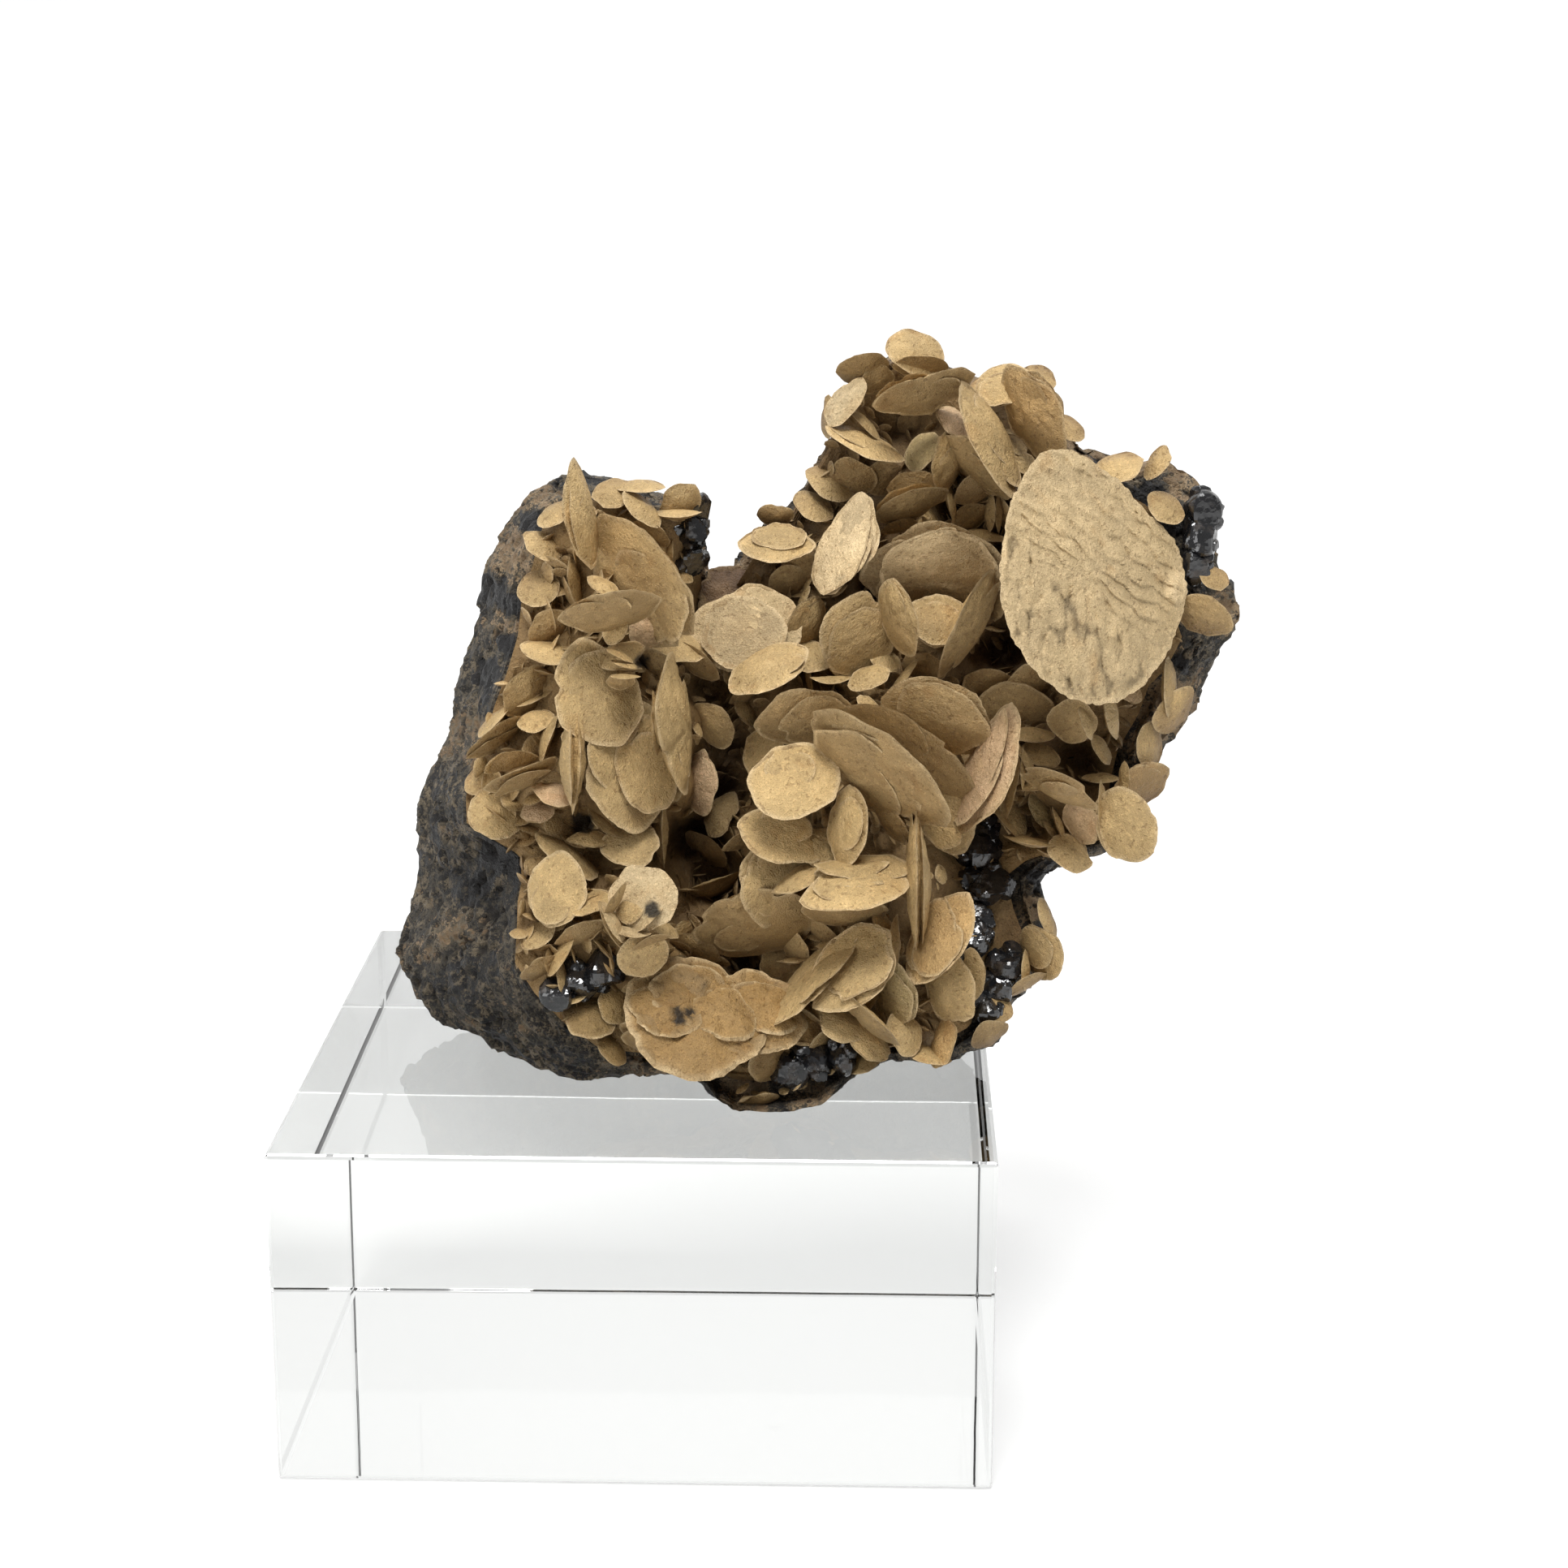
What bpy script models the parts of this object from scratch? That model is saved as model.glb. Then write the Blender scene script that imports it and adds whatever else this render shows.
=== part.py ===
# Siderite specimen: tan lens-shaped crystals lining a hollow in dark sulphide rock, with small groups
# of black sphalerite crystals. It stands on a clear acrylic display block.
# Metres, +Z up, front towards -Y. The origin is the centre of the block's underside.
import math

import bmesh
import bpy
import numpy as np
from mathutils import Matrix, Vector

MM = 0.001
GAP = 0.0003  # clearance between touching pieces
SOLVER = "EXACT"

BLOCK_WIDTH = 0.086
BLOCK_DEPTH = 0.0866
BLOCK_HEIGHT = 0.0418
BLOCK_EDGE = 0.0005  # polished edge

# The specimen is laid out on a sight plane: a plane through its middle, square to the line of sight
# from EYE. A place is given in millimetres: right of and below the plane's corner, and out towards
# the eye. So each crystal is written down where it is seen.
EYE = Vector((0.0278, -0.3716, 0.1753))
SIGHT_YAW = math.radians(-1.7)
SIGHT_PITCH = math.radians(15.0)
SIGHT_DISTANCE = 0.372
SIGHT_HALF = 96.6

FORWARD = Vector(
    (
        math.sin(SIGHT_YAW) * math.cos(SIGHT_PITCH),
        math.cos(SIGHT_YAW) * math.cos(SIGHT_PITCH),
        -math.sin(SIGHT_PITCH),
    )
)
RIGHT = Vector((math.cos(SIGHT_YAW), -math.sin(SIGHT_YAW), 0.0))
UP = RIGHT.cross(FORWARD)

HOLLOW_CENTRE = (84.0, 101.0)  # the hollow's deepest stretch, which every outline is drawn around
CRUST_DEPTH = 2.4  # mm of grown-together crystal bases under the lenses
ROOT_DEPTH = 1.2  # mm that a lens's root is sunk in that crust
ROOT_INWARD = 1.6  # mm that a root's foot lies nearer the hollow's centre
PAD_UNDER = -3.9  # mm from the floor's surface to the underside of that crust before the rock trims it
PAD_SHARES = (0.2, 0.4, 0.6, 0.8, 0.985)  # its rings across the hollow
FRONT_SHARES = (0.22, 0.45, 0.66, 0.84, 1.0)  # the rock's rings across the hollow
SMALLEST_LENS = 6.3  # mm across: lesser crystals are fine surface only
LARGE_LENS = 11.0  # mm across: these are rounder
BACK_OUT = -36.0  # the rock's back, mm behind the sight plane

# The rock's widest outline: right, down, how far in its front rim lies (share), and out.
OUTLINE = (
    (65.5, 60.8, 0.93, -8), (69.5, 58.9, 0.95, -6), (75.0, 59.4, 0.96, -6), (80.5, 60.8, 0.96, -7),
    (84.5, 61.6, 0.96, -8), (85.9, 65.0, 0.95, -9), (86.6, 70.0, 0.95, -11), (87.2, 74.2, 0.95, -13),
    (88.4, 71.6, 0.92, -12), (91.8, 68.8, 0.93, -12), (94.5, 64.6, 0.94, -12), (98.6, 60.4, 0.95, -12),
    (104.1, 50.6, 0.95, -11), (107.6, 44.6, 0.95, -10),
    (110.0, 43.0, 0.96, -10), (113.0, 41.6, 0.96, -9), (116.5, 44.6, 0.96, -8), (120.5, 46.0, 0.96, -8),
    (125.5, 45.4, 0.96, -8), (129.0, 47.6, 0.95, -8), (130.6, 51.6, 0.94, -8), (134.0, 54.6, 0.93, -8),
    (139.6, 56.6, 0.92, -8), (143.2, 55.8, 0.92, -8), (147.4, 58.4, 0.92, -8), (149.3, 61.0, 0.92, -8),
    (149.5, 66.5, 0.92, -8), (149.0, 69.4, 0.91, -8), (151.6, 72.5, 0.91, -9), (152.8, 76.0, 0.91, -9),
    (150.6, 80.2, 0.91, -9), (148.2, 82.6, 0.91, -9), (147.4, 86.5, 0.90, -9), (144.0, 91.2, 0.91, -8),
    (142.4, 95.0, 0.92, -7), (141.2, 98.6, 0.93, -6), (140.8, 103.6, 0.93, -5), (136.4, 104.6, 0.93, -5),
    (130.4, 106.4, 0.93, -6), (127.6, 108.6, 0.93, -6), (128.6, 113.0, 0.93, -6), (130.4, 117.6, 0.93, -6),
    (127.0, 121.2, 0.93, -5), (123.4, 124.6, 0.94, -4), (122.0, 128.2, 0.95, -3), (116.6, 130.6, 0.96, 0),
    (110.0, 130.6, 0.96, 2), (105.6, 132.2, 0.96, 4), (101.4, 136.2, 0.96, 5), (96.6, 136.9, 0.96, 6),
    (92.2, 137.0, 0.96, 6), (88.4, 135.2, 0.96, 4), (84.6, 132.0, 0.96, 2), (79.6, 131.8, 0.95, 0),
    (72.6, 132.8, 0.90, -5), (66.4, 131.2, 0.84, -9), (60.8, 128.6, 0.79, -14), (55.0, 125.8, 0.72, -19),
    (50.8, 121.4, 0.62, -23), (49.2, 118.4, 0.59, -25), (50.1, 113.6, 0.59, -26), (51.4, 108.2, 0.62, -25),
    (52.0, 101.6, 0.84, -24), (52.6, 97.6, 0.86, -23), (54.2, 93.2, 0.87, -22), (56.4, 88.6, 0.88, -20),
    (56.7, 84.6, 0.86, -19), (58.0, 79.0, 0.84, -17), (59.6, 73.6, 0.84, -15), (60.4, 69.0, 0.85, -13),
    (62.4, 65.0, 0.87, -11),
)

# The hollow's floor, which the crystals stand on: right, down, out.
FLOOR = (
    (64, 62, 2), (66, 75, 3), (63, 88, 2), (58, 95, -1), (60, 103, 1), (66, 115, 6), (67, 122, 6),
    (72, 66, 6), (78, 64, 5), (84, 62, 2), (76, 74, 8), (83, 75, 3), (74, 84, 8), (73, 92, 9),
    (78, 100, 9), (68, 96, 5), (83, 88, 6), (84, 97, 3), (79, 110, 9), (72, 112, 7), (79, 118, 8),
    (73.5, 103.5, -1), (88, 75, -11), (87.5, 85, -8), (90, 92, -10), (88, 97, -14), (85, 103, -14),
    (88, 108, -13), (92, 119, -13), (84, 113, -4), (92, 78, -4), (99, 78, -5), (96, 67, -6),
    (101, 61, -8), (105, 66, -4), (108, 73, -11), (106, 79, -3), (98, 89, 0), (98, 96, 3),
    (108, 90, 3), (115, 89, 1), (110, 98, 2), (116, 100, 0), (120, 93, -2), (104, 102, 3),
    (97, 104, 2), (106, 109, 5), (113, 109, 3), (116, 115, 3), (120, 103, -8), (120, 111, -4),
    (93, 113, -6), (99, 112, -3), (105, 119, 3), (100, 121, 0), (110, 122, 2), (117, 122, 2),
    (85, 125, 3), (92, 124, 3), (76, 125, 3), (95, 130, 3), (104, 127, 5), (112, 127, 5),
    (118, 127, 2), (122, 127, 0), (113, 70, -5), (111, 76, -2), (116, 76, -1), (120, 76, -4),
    (123.5, 80, -13), (121, 85, -7), (126, 87, -6), (135, 70, 2), (142, 60, -1), (145, 78, -1),
    (133, 89, -2), (138, 86, -3), (133, 93.5, -9), (130, 97, 0), (138, 101, 0), (141, 96, -3),
    (126, 95, -1), (127, 101, -7), (130, 105, 0), (125, 112, -3), (127, 118, -3), (124, 122, -2),
    (106, 46, -4), (112, 43, -5), (116, 48, -3), (111, 52, -10), (105, 51, -4), (104, 56, -6),
    (107, 60, -10), (117, 56, -5), (121, 54, -2), (127, 50, -4), (124, 47, -4), (113, 60, -5),
    (113, 63, -5), (119, 62, -10), (122, 66, -9),
)


def crystal(right, down, across, lean, toward, thick=0.26, broad=1.0, lift=0.0):
    """One lens. lean is the face's angle from the line of sight, and toward is the way it then looks,
    counterclockwise from right. thick and broad are shares of its width across, and lift raises it."""
    return dict(right=right, down=down, across=across, lean=lean, toward=toward, thick=thick, broad=broad, lift=lift)


LEFT_WALL = (
    crystal(71.6, 63.7, 12.4, 70, 9, 0.24, lift=3), crystal(75.7, 60.7, 5.5, 40, 100),
    crystal(78.8, 59.8, 6.0, 68, 90), crystal(79.2, 62.7, 5.8, 55, 45, lift=1),
    crystal(83.8, 61.8, 5.6, 35, -60, 0.42), crystal(83.2, 63.4, 6.0, 80, 90, lift=1),
    crystal(80.3, 65.7, 5.2, 65, -117), crystal(82.5, 68.3, 3.8, 70, 180), crystal(81.6, 67.7, 2.6, 40, 0),
    crystal(84.1, 70.8, 3.0, 40, 60), crystal(79.2, 71.9, 17.5, 48, -145, 0.16, lift=1.5),
    crystal(75.2, 75.2, 11.9, 68, -79, 0.28, lift=5), crystal(70.8, 71.8, 6.0, 75, 10),
    crystal(75.9, 77.2, 4.6, 40, 160, 0.3, lift=4), crystal(80.0, 77.5, 5.3, 25, -60, 0.3, lift=5),
    crystal(76.4, 80.8, 5.5, 40, 110, lift=4), crystal(77.2, 82.5, 3.0, 85, 90, 0.2, lift=6),
    crystal(76.5, 84.0, 3.4, 50, -90, lift=5), crystal(74.5, 72.3, 4.4, 55, 60, lift=4),
    crystal(73.5, 85.8, 13.2, 35, 20, 0.16, lift=1), crystal(77.8, 94.6, 15.5, 42, 0, 0.14, lift=1),
    crystal(82.8, 89.2, 16.3, 80, 5, 0.31, lift=1.5), crystal(70.8, 93.8, 11.7, 78, 178, 0.32, lift=2),
    crystal(81.0, 81.8, 5.6, 55, -120, lift=3), crystal(85.6, 81.3, 7.8, 65, -125, lift=2),
    crystal(83.8, 79.8, 6.6, 45, 80, lift=2), crystal(88.0, 89.2, 6.6, 45, -140, 0.24, lift=3),
    crystal(86.3, 96.3, 8.0, 50, 180, 0.24, lift=3), crystal(81.3, 102.2, 9.5, 82, 180, 0.28, lift=1),
    crystal(77.8, 104.0, 7.2, 35, 100, 0.24, lift=2), crystal(79.4, 110.6, 8.2, 10, 90, 0.26, lift=4.5),
    crystal(77.5, 112.2, 3.4, 20, 120, 0.34, lift=7.5), crystal(75.9, 114.6, 7.6, 76, 33, 0.28, lift=4),
    crystal(78.8, 114.8, 4.6, 78, 180, 0.3, lift=6), crystal(81.4, 114.1, 5.0, 68, 60, 0.3, lift=6),
    crystal(79.3, 117.6, 6.4, 25, -60, 0.24, lift=4), crystal(83.6, 115.4, 4.8, 50, -40),
    crystal(68.6, 109.6, 8.8, 25, 170, 0.24, lift=2), crystal(66.2, 106.8, 3.4, 30, 90),
    crystal(72.8, 111.2, 5.6, 50, 100, lift=1), crystal(71.8, 115.0, 6.6, 60, -70),
    crystal(69.0, 117.6, 6.0, 68, 150), crystal(66.5, 119.3, 5.2, 58, -60), crystal(66.3, 115.2, 4.6, 40, 120),
    crystal(69.4, 120.6, 4.2, 70, 10), crystal(70.0, 105.6, 8.6, 70, 55, 0.24, lift=1.5),
    crystal(66.1, 88.8, 4.6, 45, 100, lift=2), crystal(61.2, 91.0, 8.6, 74, -55, 0.2),
    crystal(63.0, 93.8, 6.6, 64, -75, 0.26, lift=2), crystal(64.4, 95.8, 9.6, 74, -68, 0.2, lift=2),
    crystal(67.4, 90.9, 5.8, 70, 160, lift=1), crystal(64.8, 85.2, 7.2, 45, -40), crystal(60.8, 88.9, 5.4, 70, 135),
    crystal(59.6, 96.0, 5.2, 40, 120), crystal(61.0, 100.4, 7.2, 25, 60, 0.3), crystal(68.6, 97.7, 6.0, 55, 80, lift=2),
    crystal(66.2, 100.1, 4.2, 40, 100, lift=1), crystal(72.6, 103.4, 5.0, 60, 90, lift=5),
    crystal(74.3, 101.6, 4.8, 72, 50, lift=5), crystal(67.5, 80.4, 6.4, 58, 80, lift=1),
    crystal(67.8, 77.4, 6.2, 45, -60), crystal(66.3, 72.6, 5.6, 30, 110), crystal(67.0, 67.2, 5.4, 40, 60),
    crystal(68.4, 63.2, 5.2, 50, 120),
)
CENTRE = (
    crystal(92.0, 77.6, 13.0, 15, 100, 0.24, lift=3), crystal(99.2, 77.0, 7.8, 52, -30, lift=2.5),
    crystal(99.6, 80.9, 6.2, 45, 80, lift=3), crystal(90.6, 73.6, 9.8, 20, 60, 0.16), crystal(95.6, 67.0, 9.2, 48, 90, 0.24, lift=2),
    crystal(95.6, 63.5, 4.6, 50, -90), crystal(100.3, 62.4, 5.6, 45, 60, lift=1), crystal(99.2, 70.2, 5.8, 35, -90),
    crystal(97.2, 71.8, 5.2, 35, -60), crystal(104.2, 67.3, 12.6, 50, 158, 0.18, lift=3.5),
    crystal(102.2, 59.6, 6.6, 45, 60), crystal(94.8, 82.6, 10.6, 57, 117, 0.28, lift=7),
    crystal(105.8, 78.2, 11.2, 36, -40, 0.22, lift=2.5), crystal(115.0, 70.8, 16.6, 42, -90, 0.18, lift=2.5),
    crystal(110.9, 75.9, 9.6, 62, 200, 0.3, lift=5), crystal(115.6, 76.4, 7.6, 15, 60, 0.4, lift=3.5),
    crystal(119.6, 76.5, 14.8, 76, -27, 0.26, lift=3), crystal(107.0, 83.4, 5.4, 48, 110, 0.3, lift=4.5),
    crystal(109.0, 81.3, 4.4, 45, 60, lift=2), crystal(113.8, 82.2, 5.6, 45, -100, lift=1),
    crystal(111.6, 83.2, 4.4, 74, 140, lift=3), crystal(102.4, 83.8, 4.8, 74, 90, lift=3),
    crystal(115.6, 88.2, 13.2, 40, -110, 0.2, lift=2), crystal(97.8, 96.2, 10.8, 25, 90, 0.2, lift=6),
    crystal(94.2, 92.6, 7.2, 42, 160, 0.22, lift=3.5), crystal(100.0, 88.8, 12.6, 48, -90, 0.2, lift=3.5),
    crystal(111.4, 93.0, 18.4, 52, -122, 0.16, lift=1.5), crystal(107.4, 87.4, 4.6, 55, 40, lift=4),
    crystal(108.4, 94.6, 19.6, 64, -131, 0.22, lift=5.5), crystal(116.2, 100.6, 9.6, 35, -150, 0.2, lift=3),
    crystal(115.8, 95.8, 7.6, 65, -135, lift=3), crystal(121.7, 94.8, 16.2, 70, 159, 0.24, lift=4.5),
    crystal(104.4, 101.8, 9.6, 55, 175, 0.26, lift=4.5), crystal(109.6, 100.6, 8.6, 74, -142, 0.34, lift=3),
    crystal(105.4, 109.6, 12.2, 58, 100, 0.24, lift=6), crystal(98.8, 108.2, 7.2, 64, 115, 0.26, lift=7),
    crystal(106.4, 107.4, 11.6, 68, 95, 0.22, lift=3.5), crystal(104.0, 112.4, 10.2, 60, -90, 0.24, lift=2),
    crystal(112.9, 108.5, 16.6, 86, 0, 0.19, lift=3.5), crystal(116.4, 115.6, 12.6, 54, 149, 0.22, lift=4.5),
    crystal(96.4, 103.0, 10.2, 40, 70, 0.2, lift=3), crystal(95.8, 108.0, 12.2, 40, -10, 0.18, lift=3),
    crystal(101.4, 104.4, 5.8, 30, 60, lift=3), crystal(91.2, 103.6, 4.6, 62, -60, lift=6),
    crystal(93.0, 114.0, 14.6, 48, -80, 0.18, lift=4), crystal(87.6, 109.4, 8.2, 70, -70, lift=2),
    crystal(105.0, 119.4, 12.6, 42, 135, 0.2, lift=3.5), crystal(100.4, 120.4, 15.2, 74, 136, 0.16, lift=2),
    crystal(109.2, 114.8, 5.6, 60, 30, lift=2), crystal(110.2, 115.8, 6.2, 75, 0, lift=3),
    crystal(107.6, 116.6, 5.2, 45, 120, lift=4), crystal(110.0, 122.2, 8.6, 45, -160, 0.24, lift=3),
    crystal(116.8, 121.8, 8.8, 40, -160, 0.24, lift=3), crystal(119.6, 120.2, 6.4, 50, 180, lift=1),
    crystal(116.1, 128.5, 6.4, 62, 165, 0.3, lift=2), crystal(103.6, 126.2, 6.2, 45, 60, 0.3, lift=1),
    crystal(107.0, 128.2, 6.6, 50, 45, 0.3, lift=1), crystal(111.4, 127.4, 5.8, 40, 30, 0.3, lift=1.5),
    crystal(114.0, 129.9, 6.4, 72, 75, lift=0.5), crystal(107.2, 125.8, 9.2, 76, -133, 0.24, lift=4),
    crystal(107.4, 122.8, 3.6, 70, 160, lift=4), crystal(101.2, 103.2, 4.4, 76, 90, lift=1),
    crystal(104.2, 114.0, 4.4, 68, 30), crystal(101.4, 115.0, 4.8, 60, -130), crystal(98.0, 117.0, 5.0, 50, -160),
    crystal(95.6, 119.2, 5.6, 40, 170), crystal(87.0, 104.6, 6.6, 60, -130), crystal(88.8, 100.4, 6.2, 45, 150),
    crystal(85.8, 116.8, 6.2, 50, -110), crystal(92.0, 87.6, 4.6, 50, 30), crystal(92.2, 85.4, 5.0, 60, -60),
)
BOTTOM = (
    crystal(85.6, 125.2, 17.8, 38, 68, 0.2, lift=2), crystal(93.2, 124.6, 12.4, 35, 70, 0.22, lift=1),
    crystal(72.8, 125.2, 7.0, 40, 80), crystal(75.8, 124.0, 4.8, 30, 40, lift=1), crystal(79.6, 121.2, 5.6, 60, -70),
    crystal(98.6, 125.8, 8.0, 40, 80, 0.3), crystal(95.0, 130.6, 6.4, 40, -40, 0.4), crystal(89.4, 129.6, 5.6, 60, 60),
    crystal(86.8, 131.0, 5.2, 66, 75), crystal(106.4, 130.6, 5.4, 55, 120), crystal(75.4, 129.2, 5.0, 60, 40),
    crystal(93.4, 135.4, 5.2, 70, -80), crystal(80.4, 128.6, 8.6, 62, -118, 0.2, lift=1),
)
RIGHT_LOBE = (
    crystal(134.6, 70.6, 31.6, 44, 20, 0.12, lift=4), crystal(145.6, 72.6, 5.4, 25, 40, 0.4, lift=3),
    crystal(142.2, 84.6, 9.6, 70, 0, 0.3), crystal(132.2, 88.8, 6.2, 30, -120, 0.24, lift=4),
    crystal(133.9, 89.0, 4.0, 58, 20, 0.3, lift=7), crystal(136.9, 88.0, 6.2, 66, 10, 0.3, lift=5),
    crystal(135.7, 92.4, 4.2, 55, 30, 0.3, lift=6), crystal(139.3, 85.4, 3.2, 30, 60, lift=4),
    crystal(137.2, 84.2, 4.0, 70, 80, lift=4), crystal(138.7, 101.7, 9.2, 30, -160, 0.24, lift=3),
    crystal(140.4, 96.8, 8.0, 42, -60, 0.22), crystal(141.6, 92.0, 6.4, 50, 0), crystal(144.6, 87.6, 6.8, 45, -40),
    crystal(135.6, 95.9, 4.4, 68, 90, lift=4), crystal(138.6, 95.9, 4.0, 70, 180, lift=4),
    crystal(133.2, 101.2, 6.0, 45, -150, 0.26, lift=2), crystal(135.8, 99.6, 6.4, 72, 0, lift=2),
    crystal(130.4, 97.0, 9.8, 70, -117, 0.32, lift=5), crystal(127.4, 96.8, 4.6, 72, 100, lift=3),
    crystal(131.8, 105.2, 6.2, 42, 60, 0.28, lift=0.5), crystal(126.8, 103.8, 6.4, 80, 80, 0.2, lift=4),
    crystal(128.4, 99.8, 5.0, 45, 30, lift=1), crystal(130.5, 101.6, 4.6, 76, 20, lift=1),
    crystal(121.6, 84.4, 6.6, 52, -90, lift=2), crystal(126.8, 84.4, 7.2, 45, -60, lift=1),
    crystal(125.0, 87.6, 10.2, 40, -90, 0.2), crystal(124.6, 96.8, 7.2, 80, 170, 0.18, lift=3),
    crystal(123.6, 95.4, 6.6, 80, 165, 0.18, lift=2), crystal(126.0, 94.8, 5.0, 78, 0, 0.2, lift=3),
    crystal(124.2, 101.6, 6.4, 78, 40, 0.18, lift=4), crystal(124.8, 100.8, 5.6, 45, 20, lift=1),
    crystal(127.4, 90.4, 5.6, 68, 85, lift=3), crystal(128.2, 93.0, 5.0, 50, 70, lift=2),
    crystal(126.4, 93.6, 4.6, 70, 30, lift=3), crystal(125.0, 109.6, 9.4, 60, 0, 0.24),
    crystal(128.2, 117.2, 7.6, 45, -160, 0.26), crystal(124.6, 115.8, 6.2, 76, 50, 0.2, lift=2),
    crystal(126.4, 119.6, 4.8, 70, 0, lift=1), crystal(122.6, 124.0, 4.8, 35, 60), crystal(121.8, 127.4, 5.0, 45, -60),
    crystal(126.4, 121.2, 5.4, 66, -60), crystal(129.0, 113.2, 5.2, 60, 20), crystal(142.6, 57.0, 4.6, 50, 150),
    crystal(137.8, 57.6, 6.4, 45, 110), crystal(143.6, 62.6, 5.2, 35, 60), crystal(149.6, 71.2, 4.0, 30, 60),
    crystal(148.4, 75.8, 7.2, 45, -120), crystal(131.6, 52.8, 4.6, 40, 60),
)
TOP_LOBE = (
    crystal(112.8, 43.4, 7.4, 28, 60, 0.26, lift=2), crystal(113.4, 45.2, 6.4, 62, -90, lift=2),
    crystal(113.9, 48.2, 12.3, 68, -73, 0.26, lift=5), crystal(106.3, 45.4, 6.8, 62, -80, lift=1),
    crystal(108.0, 46.8, 4.8, 50, -60, lift=1), crystal(104.2, 49.6, 7.2, 52, 145, 0.2, lift=3),
    crystal(106.6, 52.2, 5.2, 70, 45, lift=3), crystal(106.5, 54.7, 9.8, 64, 67, 0.22, lift=4),
    crystal(102.2, 51.4, 5.4, 60, 180), crystal(109.4, 49.8, 4.4, 60, 60), crystal(112.6, 52.2, 4.2, 35, -90),
    crystal(109.4, 52.0, 3.8, 35, -60), crystal(121.7, 54.2, 14.6, 64, 25, 0.22, lift=4),
    crystal(120.4, 57.4, 10.8, 68, -130, 0.22, lift=2), crystal(117.6, 51.9, 5.2, 45, 50, 0.3, lift=3),
    crystal(127.3, 51.0, 12.0, 54, -152, 0.24, lift=3.5), crystal(123.6, 47.6, 7.6, 35, 110, 0.26, lift=2),
    crystal(128.0, 46.6, 4.8, 40, 70), crystal(121.6, 47.4, 5.2, 50, 120, lift=1), crystal(129.6, 49.6, 4.2, 45, 30),
    crystal(116.6, 56.6, 8.6, 64, -15, 0.3, lift=2), crystal(113.7, 55.6, 5.8, 50, 150, lift=2),
    crystal(112.6, 60.2, 6.6, 42, -90, 0.24, lift=2), crystal(112.4, 62.1, 9.8, 72, -72, 0.22, lift=4),
    crystal(117.2, 62.0, 5.2, 76, 10, lift=4), crystal(120.2, 60.2, 6.0, 50, -60, lift=4),
    crystal(119.4, 63.8, 5.2, 45, -60, lift=2), crystal(122.0, 63.2, 4.8, 72, 180, lift=2),
    crystal(123.0, 63.4, 4.6, 72, 0, lift=2), crystal(121.2, 65.8, 5.6, 70, 80, lift=2),
    crystal(111.0, 64.8, 5.0, 72, -75, lift=2), crystal(114.6, 64.2, 4.0, 50, 20, lift=1),
    crystal(105.0, 58.8, 6.6, 45, -100, lift=1), crystal(108.8, 58.8, 5.6, 40, -60, lift=1),
    crystal(125.0, 54.8, 3.6, 45, 60), crystal(126.0, 57.0, 3.6, 30, 60, lift=2), crystal(116.4, 60.0, 4.0, 50, 40),
)
CRYSTALS = LEFT_WALL + CENTRE + BOTTOM + RIGHT_LOBE + TOP_LOBE

# Black sphalerite groups: each is a list of grains, with right, down, size across and lift in mm.
SPHALERITE = {
    "sphalerite_notch": ((85.2, 65.6, 4.8, -0.5), (85.6, 62.6, 4.0, -0.6), (85.0, 68.6, 4.4, 0.2)),
    "sphalerite_group": (
        (121.0, 105.4, 5.4, 1.2), (121.6, 109.2, 5.8, 0.6), (119.8, 112.6, 5.0, 1.0), (119.4, 115.6, 5.0, 0.0),
        (117.9, 118.6, 4.4, 0.0), (121.4, 102.8, 4.6, 1.4),
    ),
    "sphalerite_low_right": ((124.2, 119.0, 4.6, 1.2), (122.8, 121.6, 4.4, 1.0), (121.4, 124.2, 4.2, 0.2)),
    "sphalerite_rim": ((147.6, 66.4, 5.0, 0.4), (148.0, 62.9, 4.8, 0.2), (147.2, 69.6, 4.4, 0.4)),
    "sphalerite_foot": ((100.4, 130.7, 5.0, 1.5), (97.4, 131.8, 4.6, 1.5), (103.6, 130.3, 4.4, 1.4)),
    "sphalerite_left": ((71.4, 120.8, 4.6, 0.8), (74.0, 119.6, 4.8, 0.8), (68.8, 122.2, 4.4, 0.4)),
}

MATERIALS = {
    "siderite": ((0.60, 0.46, 0.27), 0.55, 0.0),
    "rock": ((0.095, 0.085, 0.075), 0.62, 0.1),
    "sphalerite": ((0.012, 0.012, 0.013), 0.16, 0.2),
    "clear acrylic": ((0.94, 0.96, 0.95), 0.02, 0.0),
}


def place(right, down, out):
    """World positions of sight-plane places, in metres, for single values or whole arrays."""
    along = SIGHT_DISTANCE - np.asarray(out, float) * MM
    across = (np.asarray(right, float) - SIGHT_HALF) * MM / SIGHT_DISTANCE
    rise = (SIGHT_HALF - np.asarray(down, float)) * MM / SIGHT_DISTANCE
    ways = [along * (f + across * r + rise * u) for f, r, u in zip(FORWARD, RIGHT, UP)]
    return np.stack([way + start for way, start in zip(ways, EYE)], axis=-1)


def floor_out(right, down):
    """Height of the hollow's floor: its control points, each weighted by 1 / distance cubed."""
    right, down = np.asarray(right, float)[..., None], np.asarray(down, float)[..., None]
    points = np.array(FLOOR, float)
    weight = ((right - points[:, 0]) ** 2 + (down - points[:, 1]) ** 2 + 1.5) ** -1.5
    return (weight * points[:, 2]).sum(axis=-1) / weight.sum(axis=-1)


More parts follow.
